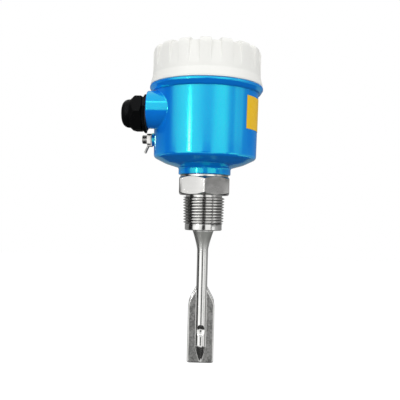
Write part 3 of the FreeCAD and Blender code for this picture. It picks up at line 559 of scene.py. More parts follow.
class EdgeWear(Effect):
    """Worn band along sharp edges, broken up by grain."""

    title = "edge_wear"
    inputs = {"Radius": 0.0005, "Breakup": 900.0}
    outputs = ("Worn",)

    def draw(self, sheet: Sheet, given: dict[str, Socket]) -> tuple[Socket, ...]:
        """Compares the rounded normal with the true one.

        Args:
            sheet: node tree of the group.
            given: the group's inputs by name.

        Returns:
            The worn share.
        """
        bevel = sheet.add("ShaderNodeBevel", samples=4)
        sheet.feed(bevel.inputs["Radius"], given["Radius"])
        true = sheet.add("ShaderNodeNewGeometry")
        dot = sheet.add("ShaderNodeVectorMath", operation="DOT_PRODUCT")
        sheet.feed(dot.inputs[0], bevel.outputs[0])
        sheet.feed(dot.inputs[1], true.outputs["Normal"])
        edge = sheet.span(dot.outputs["Value"], 0.995, 0.9)
        grain = sheet.span(sheet.noise(given["Vector"], given["Breakup"], 3.0), 0.4, 0.6, 0.35, 1.0)
        return (sheet.calc("MULTIPLY", edge, grain),)


class Dust(Effect):
    """Thin dust that settles on faces that look up."""

    title = "settled_dust"
    inputs = {"Amount": 0.3, "Size": 160.0}
    outputs = ("Dusty",)

    def draw(self, sheet: Sheet, given: dict[str, Socket]) -> tuple[Socket, ...]:
        """Masks patchy noise by how far the face looks up.

        Args:
            sheet: node tree of the group.
            given: the group's inputs by name.

        Returns:
            The dusty share.
        """
        true = sheet.add("ShaderNodeNewGeometry")
        level = sheet.span(sheet.axis(true.outputs["Normal"], "Z"), 0.55, 0.98)
        patch = sheet.span(sheet.noise(given["Vector"], given["Size"], 5.0, 0.65), 0.4, 0.75)
        return (sheet.calc("MULTIPLY", sheet.calc("MULTIPLY", level, patch), given["Amount"]),)


class Grain(Effect):
    """Small lumps of a cast, blasted or moulded face."""

    title = "grain"
    inputs = {"Scale": 1500.0, "Coarse": 0.4}
    outputs = ("Height", "Tone")

    def draw(self, sheet: Sheet, given: dict[str, Socket]) -> tuple[Socket, ...]:
        """Adds fine and coarse lumps, and a soft tone that follows them.

        Args:
            sheet: node tree of the group.
            given: the group's inputs by name.

        Returns:
            The height and the tone.
        """
        fine = sheet.noise(given["Vector"], given["Scale"], 3.0, 0.65)
        coarse = sheet.noise(given["Vector"], sheet.calc("MULTIPLY", given["Scale"], 0.3), 2.0)
        height = sheet.calc("MULTIPLY_ADD", coarse, given["Coarse"], fine)
        return height, sheet.span(height, 0.5, 0.95)


class ToolMarks(Effect):
    """Lines left by turning, at right angles to the tool's axis."""

    title = "tool_marks"
    inputs = {"Lines": 5000.0}
    outputs = ("Height", "Tone")

    def draw(self, sheet: Sheet, given: dict[str, Socket]) -> tuple[Socket, ...]:
        """Stretches noise round the axis until only lines are left.

        Args:
            sheet: node tree of the group.
            given: the group's inputs by name.

        Returns:
            The height and the tone.
        """
        lines = sheet.stretched(given["Vector"], (0.02, 0.02, 1.0))
        fine = sheet.noise(lines, given["Lines"], 3.0, 0.6)
        broad = sheet.noise(lines, sheet.calc("MULTIPLY", given["Lines"], 0.12), 2.0)
        return fine, sheet.calc("MULTIPLY_ADD", broad, 0.5, sheet.calc("MULTIPLY", fine, 0.5))


ORANGE_PEEL = OrangePeel()
SMUDGE = Smudge()
EDGE_WEAR = EdgeWear()
DUST = Dust()
GRAIN = Grain()
TOOL_MARKS = ToolMarks()


@dataclass(frozen=True)
class Look:
    """What a finish feeds into its shader: colour, roughness, relief and plain numbers."""

    colour: Feed
    rough: Socket
    relief: Socket
    strength: float
    depth: float
    constants: dict[str, Any] = field(default_factory=dict)


METAL = {"Metallic": 1.0}


@dataclass(frozen=True)
class Finish(ABC):
    """Material of one kind of surface."""

    name: str
    colour: Rgb
    gloss: Point = (0.32, 0.45)
    depth: float = 0.00006

    def build(self) -> bpy.types.Material:
        """Makes the material at its first use.

        Returns:
            The material.
        """
        title = f"{self.name}_finish"
        found = bpy.data.materials.get(title)
        if found:
            return found
        material = bpy.data.materials.new(title)
        material.use_nodes = True
        material.diffuse_color = (*self.colour, 1.0)
        sheet = Sheet(material.node_tree)
        look = self.draw(sheet, sheet.add("ShaderNodeTexCoord").outputs["Object"])
        bump = sheet.add("ShaderNodeBump")
        for name, value in (("Strength", look.strength), ("Distance", look.depth), ("Height", look.relief)):
            sheet.feed(bump.inputs[name], value)
        shader = material.node_tree.nodes["Principled BSDF"]
        varied = {"Base Color": look.colour, "Roughness": look.rough, "Normal": bump.outputs[0]}
        for name, value in {**varied, **look.constants}.items():
            sheet.feed(shader.inputs[name], value)
        return material

    @abstractmethod
    def draw(self, sheet: Sheet, place: Socket) -> Look:
        """Draws the nodes of the finish."""

    def smudged(self, sheet: Sheet, place: Socket, size: float) -> list[Socket]:
        """Returns uneven roughness within the finish's gloss, and the patches in it."""
        return SMUDGE.place(sheet, place, Low=self.gloss[0], High=self.gloss[1], Size=size)

    def tinted(self, share: float) -> Rgb:
        """Returns the finish's own colour times a share."""
        return tuple(share * part for part in self.colour)


@dataclass(frozen=True)
class GlossPaint(Finish):
    """Wet-looking coloured enamel with a tinted reflection under a thin clear skin."""

    worn: Rgb = (0.03, 0.36, 0.97)
    shade: Rgb = (0.004, 0.20, 0.93)
    dust: Rgb = (0.55, 0.60, 0.64)
    reflection: Rgb = (0.02, 1.0, 0.42)
    index: float = 2.2
    level: float = 1.0
    skin: float = 0.34
    skin_rough: float = 0.04
    gloss: Point = (0.11, 0.16)
    depth: float = 0.00008

    def draw(self, sheet: Sheet, place: Socket) -> Look:
        """Draws uneven colour and gloss, thin paint at edges, ripple and dust.

        Args:
            sheet: node tree of the material.
            place: coordinates on the object in metres.

        Returns:
            What the shader is fed.
        """
        gloss, patch = self.smudged(sheet, place, 38.0)
        worn, = EDGE_WEAR.place(sheet, place, Radius=0.0006, Breakup=700.0)
        dusty, = DUST.place(sheet, place, Amount=0.10, Size=210.0)
        ripple, = ORANGE_PEEL.place(sheet, place, Ripple=230.0, Fine=0.2)
        colour = sheet.layered(
            self.colour, Layer(patch, 0.5, self.shade), Layer(worn, 0.45, self.worn),
            Layer(dusty, 1.0, self.dust))
        return Look(colour, sheet.calc("MULTIPLY_ADD", dusty, 0.5, gloss), ripple, 0.35, self.depth, {
            "IOR": self.index, "Specular IOR Level": self.level, "Specular Tint": (*self.reflection, 1.0),
            "Coat Weight": self.skin, "Coat Roughness": self.skin_rough})


@dataclass(frozen=True)
class SatinPaint(Finish):
    """Pale powder coat, slightly pebbled, greyer in soft patches and with its grain."""

    shade: Rgb = (0.82, 0.82, 0.785)
    worn: Rgb = (0.90, 0.90, 0.88)
    dust: Rgb = (0.60, 0.58, 0.53)
    gloss: Point = (0.34, 0.44)

    def draw(self, sheet: Sheet, place: Socket) -> Look:
        """Draws faint patches, rubbed edges, dust and a pebbled face.

        Args:
            sheet: node tree of the material.
            place: coordinates on the object in metres.

        Returns:
            What the shader is fed.
        """
        gloss, patch = self.smudged(sheet, place, 30.0)
        pebble, tone = GRAIN.place(sheet, place, Scale=900.0, Coarse=0.5)
        worn, = EDGE_WEAR.place(sheet, place, Radius=0.0008, Breakup=500.0)
        dusty, = DUST.place(sheet, place, Amount=0.22, Size=120.0)
        colour = sheet.layered(
            self.colour, Layer(patch, 0.10, self.shade), Layer(tone, 0.05, self.shade),
            Layer(worn, 0.18, self.worn), Layer(dusty, 1.0, self.dust))
        rough = sheet.calc("MULTIPLY_ADD", dusty, 0.3, gloss)
        return Look(colour, rough, pebble, 0.2, self.depth, {"Specular IOR Level": 0.5})


@dataclass(frozen=True)
class MachinedSteel(Finish):
    """Turned or milled stainless steel with tool marks and bright rubbed edges."""

    edge: Rgb = (0.80, 0.80, 0.79)
    gloss: Point = (0.12, 0.22)
    rubbed: float = 0.7
    depth: float = 0.00002

    def draw(self, sheet: Sheet, place: Socket) -> Look:
        """Draws tool marks in colour, gloss and relief.

        Args:
            sheet: node tree of the material.
            place: coordinates on the object in metres.

        Returns:
            What the shader is fed.
        """
        gloss, patch = self.smudged(sheet, place, 80.0)
        marks, tone = TOOL_MARKS.place(sheet, place, Lines=4500.0)
        worn, = EDGE_WEAR.place(sheet, place, Radius=0.0004, Breakup=1200.0)
        dull = self.tinted(0.86)
        colour = sheet.layered(
            self.colour, Layer(patch, 0.4, dull), Layer(sheet.span(tone, 0.35, 0.65), 0.35, dull),
            Layer(worn, self.rubbed, self.edge))
        rough = sheet.calc("MULTIPLY_ADD", tone, 0.06, gloss)
        # kinds with painted shade darken the colour here
        return Look(self.with_painted_shade(sheet, place, colour), rough, marks, 0.3, self.depth, METAL)

    def with_painted_shade(self, sheet: Sheet, place: Socket, colour: Socket) -> Socket:
        """Returns the colour as it is; a kind with painted shade darkens it."""
        return colour


@dataclass(frozen=True)
class ThreadedSteel(MachinedSteel):
    """Machined steel with painted shade in the valleys of its taper thread and on the hexagon's upper face
    under the housing.
    """

    # painted shade: colour of the thread's valleys, drawn darker as if in shade
    valley_painted_shade: Rgb = (0.45, 0.45, 0.44)
    valley_depth: Point = (0.0001, 0.0010)
    # painted shade: colour of the hexagon's top face, drawn dark as if in the housing's shade
    hex_top_painted_shade: Rgb = (0.13, 0.127, 0.12)
    hex_top_shade_slope: Point = (0.45, 0.8)

    def with_painted_shade(self, sheet: Sheet, place: Socket, colour: Socket) -> Socket:
        """Paints shade below the thread's crests and on what faces up on the hexagon.

        Args:
            sheet: node tree of the material.
            place: coordinates on the object in metres.
            colour: colour of the steel without its painted shade.

        Returns:
            The colour with its painted shade.
        """
        end, top, crest, face = (size * MM for size in (
            ProcessFitting.thread_end, ProcessFitting.thread_top, ProcessFitting.crest_at_end,
            ProcessFitting.hex_height))
        height = sheet.axis(place, "Z")
        flat = sheet.add("ShaderNodeVectorMath", operation="LENGTH")
        sheet.feed(flat.inputs[0], sheet.stretched(place, (1.0, 1.0, 0.0)))
        # painted shade in the thread's valleys, by how far a point lies below the crest
        outer = sheet.calc("MULTIPLY_ADD", sheet.calc("SUBTRACT", height, end), ProcessFitting.taper, crest)
        deep = sheet.span(sheet.calc("SUBTRACT", outer, flat.outputs["Value"]), *self.valley_depth)
        threaded = sheet.span(height, top, top - 0.0003)
        # painted shade on the hexagon's upward faces, just below its top
        upward = sheet.axis(sheet.add("ShaderNodeNewGeometry").outputs["Normal"], "Z")
        upper = sheet.span(height, face - 0.0005, face - 0.0001)
        level = sheet.calc("MULTIPLY", sheet.span(upward, *self.hex_top_shade_slope), upper)
        # lay the painted shade over the clean steel colour
        return sheet.layered(
            colour, Layer(sheet.calc("MULTIPLY", deep, threaded), 1.0, self.valley_painted_shade),
            Layer(level, 0.85, self.hex_top_painted_shade))


@dataclass(frozen=True)
class ForkSteel(Finish):
    """Fork of forged steel: drawn stem and ridge, blasted paddles with bright edges, dull roots."""

    blasted: Rgb = (0.34, 0.34, 0.33)
    pitted: Rgb = (0.13, 0.13, 0.127)
    edge: Rgb = (0.60, 0.60, 0.585)
    dark_root: Rgb = (0.25, 0.255, 0.24)
    gloss: Point = (0.11, 0.19)
    root_top: Point = (-0.0225, -0.0235)
    root_end: Point = (-0.040, -0.026)
    rim_fade: Point = (-0.088, -0.064)
    rim_share: Point = (0.15, 0.75)
    flat_dull: float = 0.30
    root_dull: float = 0.34
    depth: float = 0.00010

    def draw(self, sheet: Sheet, place: Socket) -> Look:
        """Splits the fork into drawn, blasted and dull faces by the masks on its mesh.

        Args:
            sheet: node tree of the material.
            place: coordinates on the object in metres.

        Returns:
            What the shader is fed.
        """
        flat, rim = (sheet.add("ShaderNodeAttribute", attribute_name=name).outputs["Fac"]
                     for name in (Fork.flat_mask, Fork.rim_mask))
        height = sheet.axis(place, "Z")
        root = sheet.calc(
            "MULTIPLY", sheet.span(height, *self.root_top), sheet.span(height, *self.root_end))
        lumps, tone = GRAIN.place(sheet, place, Scale=1050.0, Coarse=0.5)
        gloss, patch = self.smudged(sheet, place, 140.0)
        marks, _ = TOOL_MARKS.place(sheet, sheet.stretched(place, (40.0, 40.0, 0.02)), Lines=160.0)
        drawn = sheet.layered(
            self.colour, Layer(patch, 0.35, self.tinted(0.8)),
            Layer(sheet.span(marks, 0.4, 0.7), 0.3, self.tinted(0.7)), Layer(root, 0.9, self.dark_root))
        colour = sheet.blend(flat, drawn, sheet.blend(tone, self.pitted, self.blasted))
        bright = sheet.calc("MULTIPLY", rim, sheet.span(height, *self.rim_fade, *self.rim_share))
        dull = sheet.calc("MAXIMUM", sheet.calc("MULTIPLY", flat, self.flat_dull),
                          sheet.calc("MULTIPLY", root, self.root_dull))
        relief = sheet.calc("MULTIPLY", lumps, sheet.calc("MULTIPLY_ADD", flat, 0.9, 0.1))
        return Look(sheet.blend(bright, colour, self.edge), sheet.calc("ADD", gloss, dull), relief, 0.4,
                    self.depth, METAL)


@dataclass(frozen=True)
class Plated(Finish):
    """Zinc-plated or brass small hardware, bright with dull patches."""

    dull: Rgb = (0.42, 0.41, 0.39)
    gloss: Point = (0.14, 0.30)
    brightest: float = 0.92
    depth: float = 0.00003

    def draw(self, sheet: Sheet, place: Socket) -> Look:
        """Draws dull patches and bright edges.

        Args:
            sheet: node tree of the material.
            place: coordinates on the object in metres.

        Returns:
            What the shader is fed.
        """
        gloss, patch = self.smudged(sheet, place, 260.0)
        worn, = EDGE_WEAR.place(sheet, place, Radius=0.0003, Breakup=1500.0)
        lumps, _ = GRAIN.place(sheet, place, Scale=2600.0, Coarse=0.6)
        edge = tuple(min(self.brightest, part) for part in self.tinted(1.2))
        colour = sheet.layered(self.colour, Layer(patch, 0.45, self.dull), Layer(worn, 0.6, edge))
        return Look(colour, gloss, lumps, 0.2, self.depth, METAL)


@dataclass(frozen=True)
class Moulded(Finish):
    """Moulded plastic, rubber or ceramic with a fine grain."""

    pale: Rgb = (0.05, 0.05, 0.052)
    level: float = 0.5
    dust: float = 0.12
    dust_colour: Rgb = (0.32, 0.31, 0.29)

    def draw(self, sheet: Sheet, place: Socket) -> Look:
        """Draws a grained face with paler rubbed edges and dust.

        Args:
            sheet: node tree of the material.
            place: coordinates on the object in metres.

        Returns:
            What the shader is fed.
        """
        gloss, patch = self.smudged(sheet, place, 90.0)
        lumps, tone = GRAIN.place(sheet, place, Scale=1400.0, Coarse=0.3)
        worn, = EDGE_WEAR.place(sheet, place, Radius=0.0005, Breakup=900.0)
        dusty, = DUST.place(sheet, place, Amount=self.dust, Size=240.0)
        colour = sheet.layered(
            self.colour, Layer(patch, 0.25, self.pale), Layer(tone, 0.15, self.pale),
            Layer(worn, 0.4, self.pale), Layer(dusty, 1.0, self.dust_colour))
        return Look(colour, gloss, lumps, 0.3, self.depth, {"Specular IOR Level": self.level})


@dataclass(frozen=True)
class StickerFilm(Finish):
    """Blank printed film: flat strong colour, a little scuffed, darker at its cut edge."""

    scuffed: Rgb = (0.84, 0.50, 0.03)
    gloss: Point = (0.22, 0.38)

    def draw(self, sheet: Sheet, place: Socket) -> Look:
        """Draws scuffs and a faint ripple of the glue below.

        Args:
            sheet: node tree of the material.
            place: coordinates on the object in metres.

        Returns:
            What the shader is fed.
        """
        gloss, patch = self.smudged(sheet, place, 120.0)
        ripple, = ORANGE_PEEL.place(sheet, place, Ripple=320.0, Fine=0.5)
        worn, = EDGE_WEAR.place(sheet, place, Radius=0.0006, Breakup=1200.0)
        colour = sheet.layered(
            self.colour, Layer(patch, 0.25, self.scuffed), Layer(worn, 0.5, self.tinted(0.7)))
        return Look(colour, gloss, ripple, 0.25, self.depth, {"Specular IOR Level": 0.2})


@dataclass(frozen=True)
class BoardMask(Finish):
    """Green lacquer over a circuit board, with tracks showing as a paler, raised net."""

    track: Rgb = (0.05, 0.34, 0.14)
    gloss: Point = (0.25, 0.4)
    depth: float = 0.00005

    def draw(self, sheet: Sheet, place: Socket) -> Look:
        """Draws a net of straight tracks and the cloudy lacquer.

        Args:
            sheet: node tree of the material.
            place: coordinates on the object in metres.

        Returns:
            What the shader is fed.
        """
        cells = sheet.add("ShaderNodeTexBrick", offset=0.35, squash=0.7)
        for name, value in (("Vector", place), ("Scale", 260.0), ("Mortar Size", 0.05)):
            sheet.feed(cells.inputs[name], value)
        net = sheet.calc("MULTIPLY", cells.outputs["Fac"], 0.8)
        gloss, patch = self.smudged(sheet, place, 150.0)
        colour = sheet.layered(
            self.colour, Layer(net, 1.0, self.track), Layer(patch, 0.3, self.tinted(0.6)))
        return Look(colour, gloss, net, 0.4, self.depth)


BLUE_PAINT = GlossPaint("blue_enamel", (0.005, 0.24, 0.98))
PALE_PAINT = SatinPaint("pale_powder_coat", (0.91, 0.91, 0.875))
HEX_STEEL = ThreadedSteel("turned_stainless", (0.66, 0.655, 0.64), gloss=(0.09, 0.16), rubbed=0.3)
FORK_STEEL = ForkSteel("fork_steel", (0.62, 0.62, 0.605))

NODE_FINISHES: dict[Finish, tuple[str, ...]] = {
    BLUE_PAINT: ("housing",),
    PALE_PAINT: ("cover",),
    StickerFilm("yellow_film", (0.92, 0.56, 0.012)): ("id_sticker",),
    Moulded("black_nylon", (0.0030, 0.0032, 0.0035), pale=(0.008, 0.008, 0.0085), gloss=(0.30, 0.42),
            level=0.055, dust=0.03):
        ("gland_body", "gland_nut"),
    Moulded("black_rubber", (0.018, 0.018, 0.018), pale=(0.06, 0.06, 0.058), gloss=(0.55, 0.7)):
        ("cover_gasket", "gland_washer", "gland_seal", "neck_seal"),
    HEX_STEEL: ("process_fitting",),
    MachinedSteel("machined_steel", (0.62, 0.615, 0.60)): ("drive_stud", "clamp_nut"),
    FORK_STEEL: ("fork",),
    Plated("bright_zinc", (0.68, 0.67, 0.65)): ("ground_clamp", "module_screws", "terminal_screws"),
    Plated("dark_steel", (0.42, 0.415, 0.40), dull=(0.12, 0.12, 0.115), gloss=(0.28, 0.42)):
        ("ground_tab", "ground_screw"),
    Moulded("potting_resin", (0.035, 0.035, 0.042), pale=(0.07, 0.07, 0.08), gloss=(0.25, 0.4)):
        ("electronics_cup",),
    BoardMask("board_lacquer", (0.012, 0.16, 0.055)): ("circuit_board",),
    Moulded("terminal_green", (0.03, 0.28, 0.09), pale=(0.07, 0.40, 0.16), gloss=(0.35, 0.5)):
        ("terminal_block",),
    Moulded("switch_black", (0.02, 0.02, 0.02), gloss=(0.3, 0.42)): ("mode_switch",),
    Moulded("slider_white", (0.78, 0.78, 0.74), pale=(0.88, 0.88, 0.85)): ("mode_slider", "lead_plug"),
    Moulded("trimmer_blue", (0.02, 0.09, 0.38), pale=(0.06, 0.16, 0.48)): ("trimmer",),
    Plated("plain_brass", (0.72, 0.50, 0.18), dull=(0.40, 0.26, 0.09)):
        ("trimmer_rotor", "electrode_plates"),
    Moulded("lamp_red", (0.50, 0.03, 0.025), pale=(0.62, 0.08, 0.06), gloss=(0.08, 0.15)):
        ("status_leds",),
    Moulded("piezo_ceramic", (0.62, 0.57, 0.45), pale=(0.74, 0.70, 0.60), gloss=(0.4, 0.55)):
        ("piezo_rings",),
    Moulded("white_ceramic", (0.80, 0.79, 0.76), pale=(0.90, 0.90, 0.88), gloss=(0.3, 0.45)):
        ("lower_insulator", "upper_insulator"),
    Moulded("lead_sleeve", (0.52, 0.03, 0.025), pale=(0.60, 0.10, 0.08), gloss=(0.35, 0.5)):
        ("sensor_leads",),
}


def dress(piece: Piece, finish: Finish) -> None:
    """Gives a piece one finish all over."""
    piece.data.materials.clear()
    piece.data.materials.append(finish.build())


def hand_over(piece: Piece, body: Body, slot: str, *nodes: str) -> None:
    """Lets a finished piece ride on its body and stand for its nodes.

    Args:
        piece: the finished piece.
        body: body that it rides on.
        slot: material slot of the record; not used.
        nodes: nodes that it stands for.
    """
    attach(piece, body.value)
    if nodes:
        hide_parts(*nodes)
    LOG.info("%s: %d faces on %s", piece.name, len(piece.data.polygons), body.value)


@dataclass
class ProcessFitting:
    """Hexagon with collar and spigot above, relief and taper pipe thread below."""

    across_flats: float = 32.0
    hex_height: float = 12.0
    corner_bevel: float = 0.5
    face_share: float = 0.955
    chamfer_angle: float = 30.0
    collar: float = 15.6
    collar_top: float = 13.2
    spigot: float = 13.5
    spigot_top: float = 24.2
    groove: float = 11.9
    groove_span: Point = (14.5, 16.5)
    relief: float = 11.85
    bore: float = 9.0
    thread_top: float = -1.2
    thread_end: float = -18.5
    crest_at_end: float = 12.85
    taper: float = 1 / 32
    pitch: float = 1.814
    ridge: float = 1.35
    crest_flat: float = 0.55
    root_flat: float = 0.12
    end_chamfer: float = 0.6
    top_chamfer: float = 0.7
    mouth: float = 2.0
    lead_turns: float = 1.5
    spare_turns: int = 3
    cut_spare: float = 0.3
    sleeve_gap: float = 0.5
    barrel_gap: float = 1.0
    core_gap: float = 0.1
    core_overlap: float = 0.4
    steps: int = 144

    def hexagon(self) -> Piece:
        """Makes the six-sided part with its turned corners and rounded long edges.

        Returns:
            A closed shell.
        """
        corner = self.across_flats / math.sqrt(3)
        piece = Bench.add(
            "process_fitting_threaded", bpy.ops.mesh.primitive_cylinder_add, vertices=6, radius=corner * MM,
            depth=self.hex_height * MM, location=(0, 0, self.hex_height / 2 * MM))
        Bench.edit(piece)
        bpy.ops.mesh.select_all(action="DESELECT")
        Bench.close()
        for edge in piece.data.edges:
            low, high = (piece.data.vertices[i].co for i in edge.vertices)
            edge.select = abs(low.z - high.z) > self.hex_height / 2 * MM
        bpy.ops.object.mode_set(mode="EDIT")
        bpy.ops.mesh.bevel(offset=self.corner_bevel * MM, segments=3, affect="EDGES")
        Bench.close()
        face = self.across_flats / 2 * self.face_share
        depth = (corner - face) * math.tan(math.radians(self.chamfer_angle))
        inner = self.bore + self.barrel_gap
        barrel = Bench.turned("barrel", [
            (inner, 0.0), (face, 0.0), (corner, depth), (corner, self.hex_height - depth),
            (face, self.hex_height), (inner, self.hex_height)], self.steps, ring=True)
        Bench.combine(piece, barrel, Merge.COMMON)
        return piece

    def core(self) -> Piece:
        """Makes the turned part: relief, collar, spigot and seal groove round the bore.

        Returns:
            A closed shell.
        """
        inner = self.bore - self.core_gap
        bottom = self.thread_top - self.core_overlap
        outline = rounded([
            (inner, bottom), (self.relief, bottom),
            (self.relief, self.hex_height / 2), (self.collar, self.hex_height / 2),
            (self.collar, self.collar_top, 0.3), (self.spigot, self.collar_top),
            (self.spigot, self.groove_span[0]), (self.groove, self.groove_span[0]),
            (self.groove, self.groove_span[1]), (self.spigot, self.groove_span[1]),
            (self.spigot, self.spigot_top, 0.4), (inner, self.spigot_top)])
        return Bench.turned("core", outline, self.steps, ring=True)

    def thread(self) -> Piece:
        """Makes the taper thread, wound, tapered, cut to length and bored.

        Returns:
            A closed shell.
        """
        top = self.crest_at_end
        root = top - self.ridge
        flank = (self.pitch - self.crest_flat - self.root_flat) / 2
        start = self.thread_end - self.lead_turns * self.pitch
        outline = [
            (root, start), (root, start + self.root_flat), (top, start + self.root_flat + flank),
            (top, start + self.root_flat + flank + self.crest_flat), (root, start + self.pitch)]
        length = self.thread_top - self.thread_end
        turns = math.ceil(length / self.pitch) + self.spare_turns
        piece = Bench.helix("thread", outline, self.pitch, turns, self.steps, ring=False)
        for vertex in piece.data.vertices:
            radius = math.hypot(vertex.co.x, vertex.co.y)
            grown = radius + (vertex.co.z - self.thread_end * MM) * self.taper
            vertex.co.x *= grown / radius
            vertex.co.y *= grown / radius
        Bench.edit(piece)
        bpy.ops.mesh.remove_doubles(threshold=WELD)
        for height, side in ((self.thread_end - self.cut_spare, -1), (self.thread_top + self.cut_spare, 1)):
            bpy.ops.mesh.select_all(action="SELECT")
            bpy.ops.mesh.bisect(
                plane_co=(0, 0, height * MM), plane_no=(0, 0, side), use_fill=True, clear_outer=True)
        bpy.ops.mesh.select_all(action="SELECT")
        bpy.ops.mesh.normals_make_consistent(inside=False)
        Bench.close()
        wide = top + length * self.taper + self.sleeve_gap
        sleeve = Bench.turned("sleeve", [
            (self.bore, self.thread_end), (top - self.end_chamfer, self.thread_end),
            (top + self.sleeve_gap, self.thread_end + self.end_chamfer + self.sleeve_gap),
            (wide, self.thread_end + self.mouth), (wide, self.thread_top - self.top_chamfer),
            (wide - self.top_chamfer, self.thread_top), (self.bore, self.thread_top)],
            self.steps, ring=True)
        Bench.combine(piece, sleeve, Merge.COMMON)
        return piece

    def build(self) -> None:
        """Builds, dresses and hands over the fitting."""
        piece = self.hexagon()
        Bench.combine(piece, self.core(), Merge.BOTH)
        Bench.combine(piece, self.thread(), Merge.BOTH)
        Bench.smooth(piece, 30.0)
        dress(piece, HEX_STEEL)
        hand_over(piece, Body.SWITCH, "stainless", "process_fitting")


@dataclass
class Cover:
    """Screw cap whose grip lugs swell softly out of its wall and roll over its top edge."""

    skirt: float = 36.2
    skirt_bottom: float = 70.0
    skirt_top: float = 76.2
    skirt_slope: float = 5.0
    skirt_edge: float = 1.2
    lip: float = 0.4
    wall: float = 34.8
    top: float = 94.1
    edge: float = 3.2
    lugs: int = 16
    lug_share: float = 0.54
    lug_height: float = 1.6
    lug_inner: float = 24.5
    lug_flat: float = 26.5
    lug_roll: tuple[Point, ...] = (
        (-0.7, 0.0), (-0.25, 0.1), (0.0, 0.35), (0.1, 0.75), (0.35, 1.0), (0.8, 1.1))
    lug_phase: float = -2.0
    panel_rings: Point = (12.0, 20.0)
    flute_rise: float = 2.0
    flute_gap: float = 0.3
    floor_shares: Point = (0.4, 0.75)
    bore: float = 32.0
    bore_edge: float = 0.3
    shelf: float = 80.7
    chamber: float = 29.6
    ceiling: float = 90.2
    ceiling_edge: float = 3.0
    soft: float = 0.45
    near_steps: tuple[float, ...] = (-0.55, -0.4, -0.27, -0.13, 0.0, 0.13, 0.27, 0.4, 0.55)
    far_steps: tuple[float, ...] = (1.1, 2.6, 4.4)
    side_rows: int = 9
    arc_steps: int = 12
    on_axis: float = 0.01

    def outlines(self) -> tuple[list[Point], list[Point]]:
        """Draws two outlines with matching points.

        Returns:
            (radius, height) of each point in millimetres, over a lug and along a flute.
        """
        panel = self.top - self.lug_height
        flute_end = self.skirt_top + self.flute_rise
        floor_slope = self.lug_height / (panel - flute_end)
        lug: list[Point] = [(radius, panel) for radius in (0.0, *self.panel_rings)]
        flute: list[Point] = list(lug)
        full_rise = self.lug_roll[-1][1]
        for radius, rise in self.lug_roll:
            lug.append((self.lug_inner + radius, panel + rise * self.lug_height / full_rise))
            flute.append((self.lug_inner + radius, panel))
        side = (self.wall, flute_end)
        inner = self.wall - self.lug_height
        for line, height, corner in (
                (lug, self.top, (self.wall, self.top, self.edge)),
                (flute, panel, (inner, panel, self.edge - self.lug_height))):
            line += rounded([(self.lug_flat, height), corner, side], self.arc_steps)[:-1]
        start = lug[-1][1]
        for row in range(1, self.side_rows + 1):
            height = start + (flute_end - start) * row / self.side_rows
            lug.append((self.wall, height))
            flute.append((self.wall - floor_slope * (height - flute_end), height))
        lower = rounded([
            (self.wall, flute_end - self.flute_gap), (self.wall, self.skirt_top, self.skirt_edge),
            (self.skirt, self.skirt_top - self.skirt_slope, self.skirt_edge),
            (self.skirt, self.skirt_bottom, self.lip), (self.bore, self.skirt_bottom, self.bore_edge),
            (self.bore, self.shelf), (self.chamber, self.shelf),
            (self.chamber, self.ceiling, self.ceiling_edge), (0.0, self.ceiling)])
        return lug + lower, flute + lower

    def angles(self) -> list[float]:
        """Divides one lug's sector about the middle of its flute, closer at its sides.

        Returns:
            The angles in degrees.
        """
        pitch = 360.0 / self.lugs
        edge = pitch * (1 - self.lug_share) / 2
        half = [0.0, *(edge * share for share in self.floor_shares)]
        half += [edge + step for step in self.near_steps + self.far_steps]
        return [-angle for angle in reversed(half[1:])] + half + [pitch / 2]

    def depth(self, angle: float) -> float:
        """Finds the share of the flute's depth at an angle.

        Args:
            angle: the angle from the flute's middle in degrees.

        Returns:
            The share from 0 to 1.
        """
        edge = 360.0 / self.lugs * (1 - self.lug_share) / 2
        share = min(1.0, max(0.0, (edge + self.soft - abs(angle)) / (2 * self.soft)))
        return share * share * (3 - 2 * share)

    def build(self) -> None:
        """Builds, dresses and hands over the cover."""
        lug, flute = self.outlines()
        sector = self.angles()
        steps = self.lugs * len(sector)
        piece = Bench.turned("cover_fluted", lug, steps)
        partner = {(round(r, 3), round(z, 3)): low for (r, z), low in zip(lug, flute)}
        pitch = 360.0 / self.lugs
        first = self.lug_phase - 90.0 + pitch / 2
        for vertex in piece.data.vertices:
            radius = math.hypot(vertex.co.x, vertex.co.y) / MM
            if radius < self.on_axis:
                continue
            step = round(math.atan2(vertex.co.y, vertex.co.x) / TURN * steps) % steps
            lug_index, place = divmod(step, len(sector))
            offset = sector[place]
            key = (round(radius, 3), round(vertex.co.z / MM, 3))
            low = partner.get(key) or min(partner.items(), key=lambda p: math.dist(p[0], key))[1]
            share = self.depth(offset)
            r = radius + (low[0] - radius) * share
            z = vertex.co.z / MM + (low[1] - vertex.co.z / MM) * share
            angle = math.radians(first + lug_index * pitch + offset)
            vertex.co = Vector((r * math.cos(angle), r * math.sin(angle), z)) * MM
        Bench.mend(piece)
        Bench.smooth(piece, 40.0)
        dress(piece, PALE_PAINT)
        hand_over(piece, Body.COVER, "cover_paint", "cover")


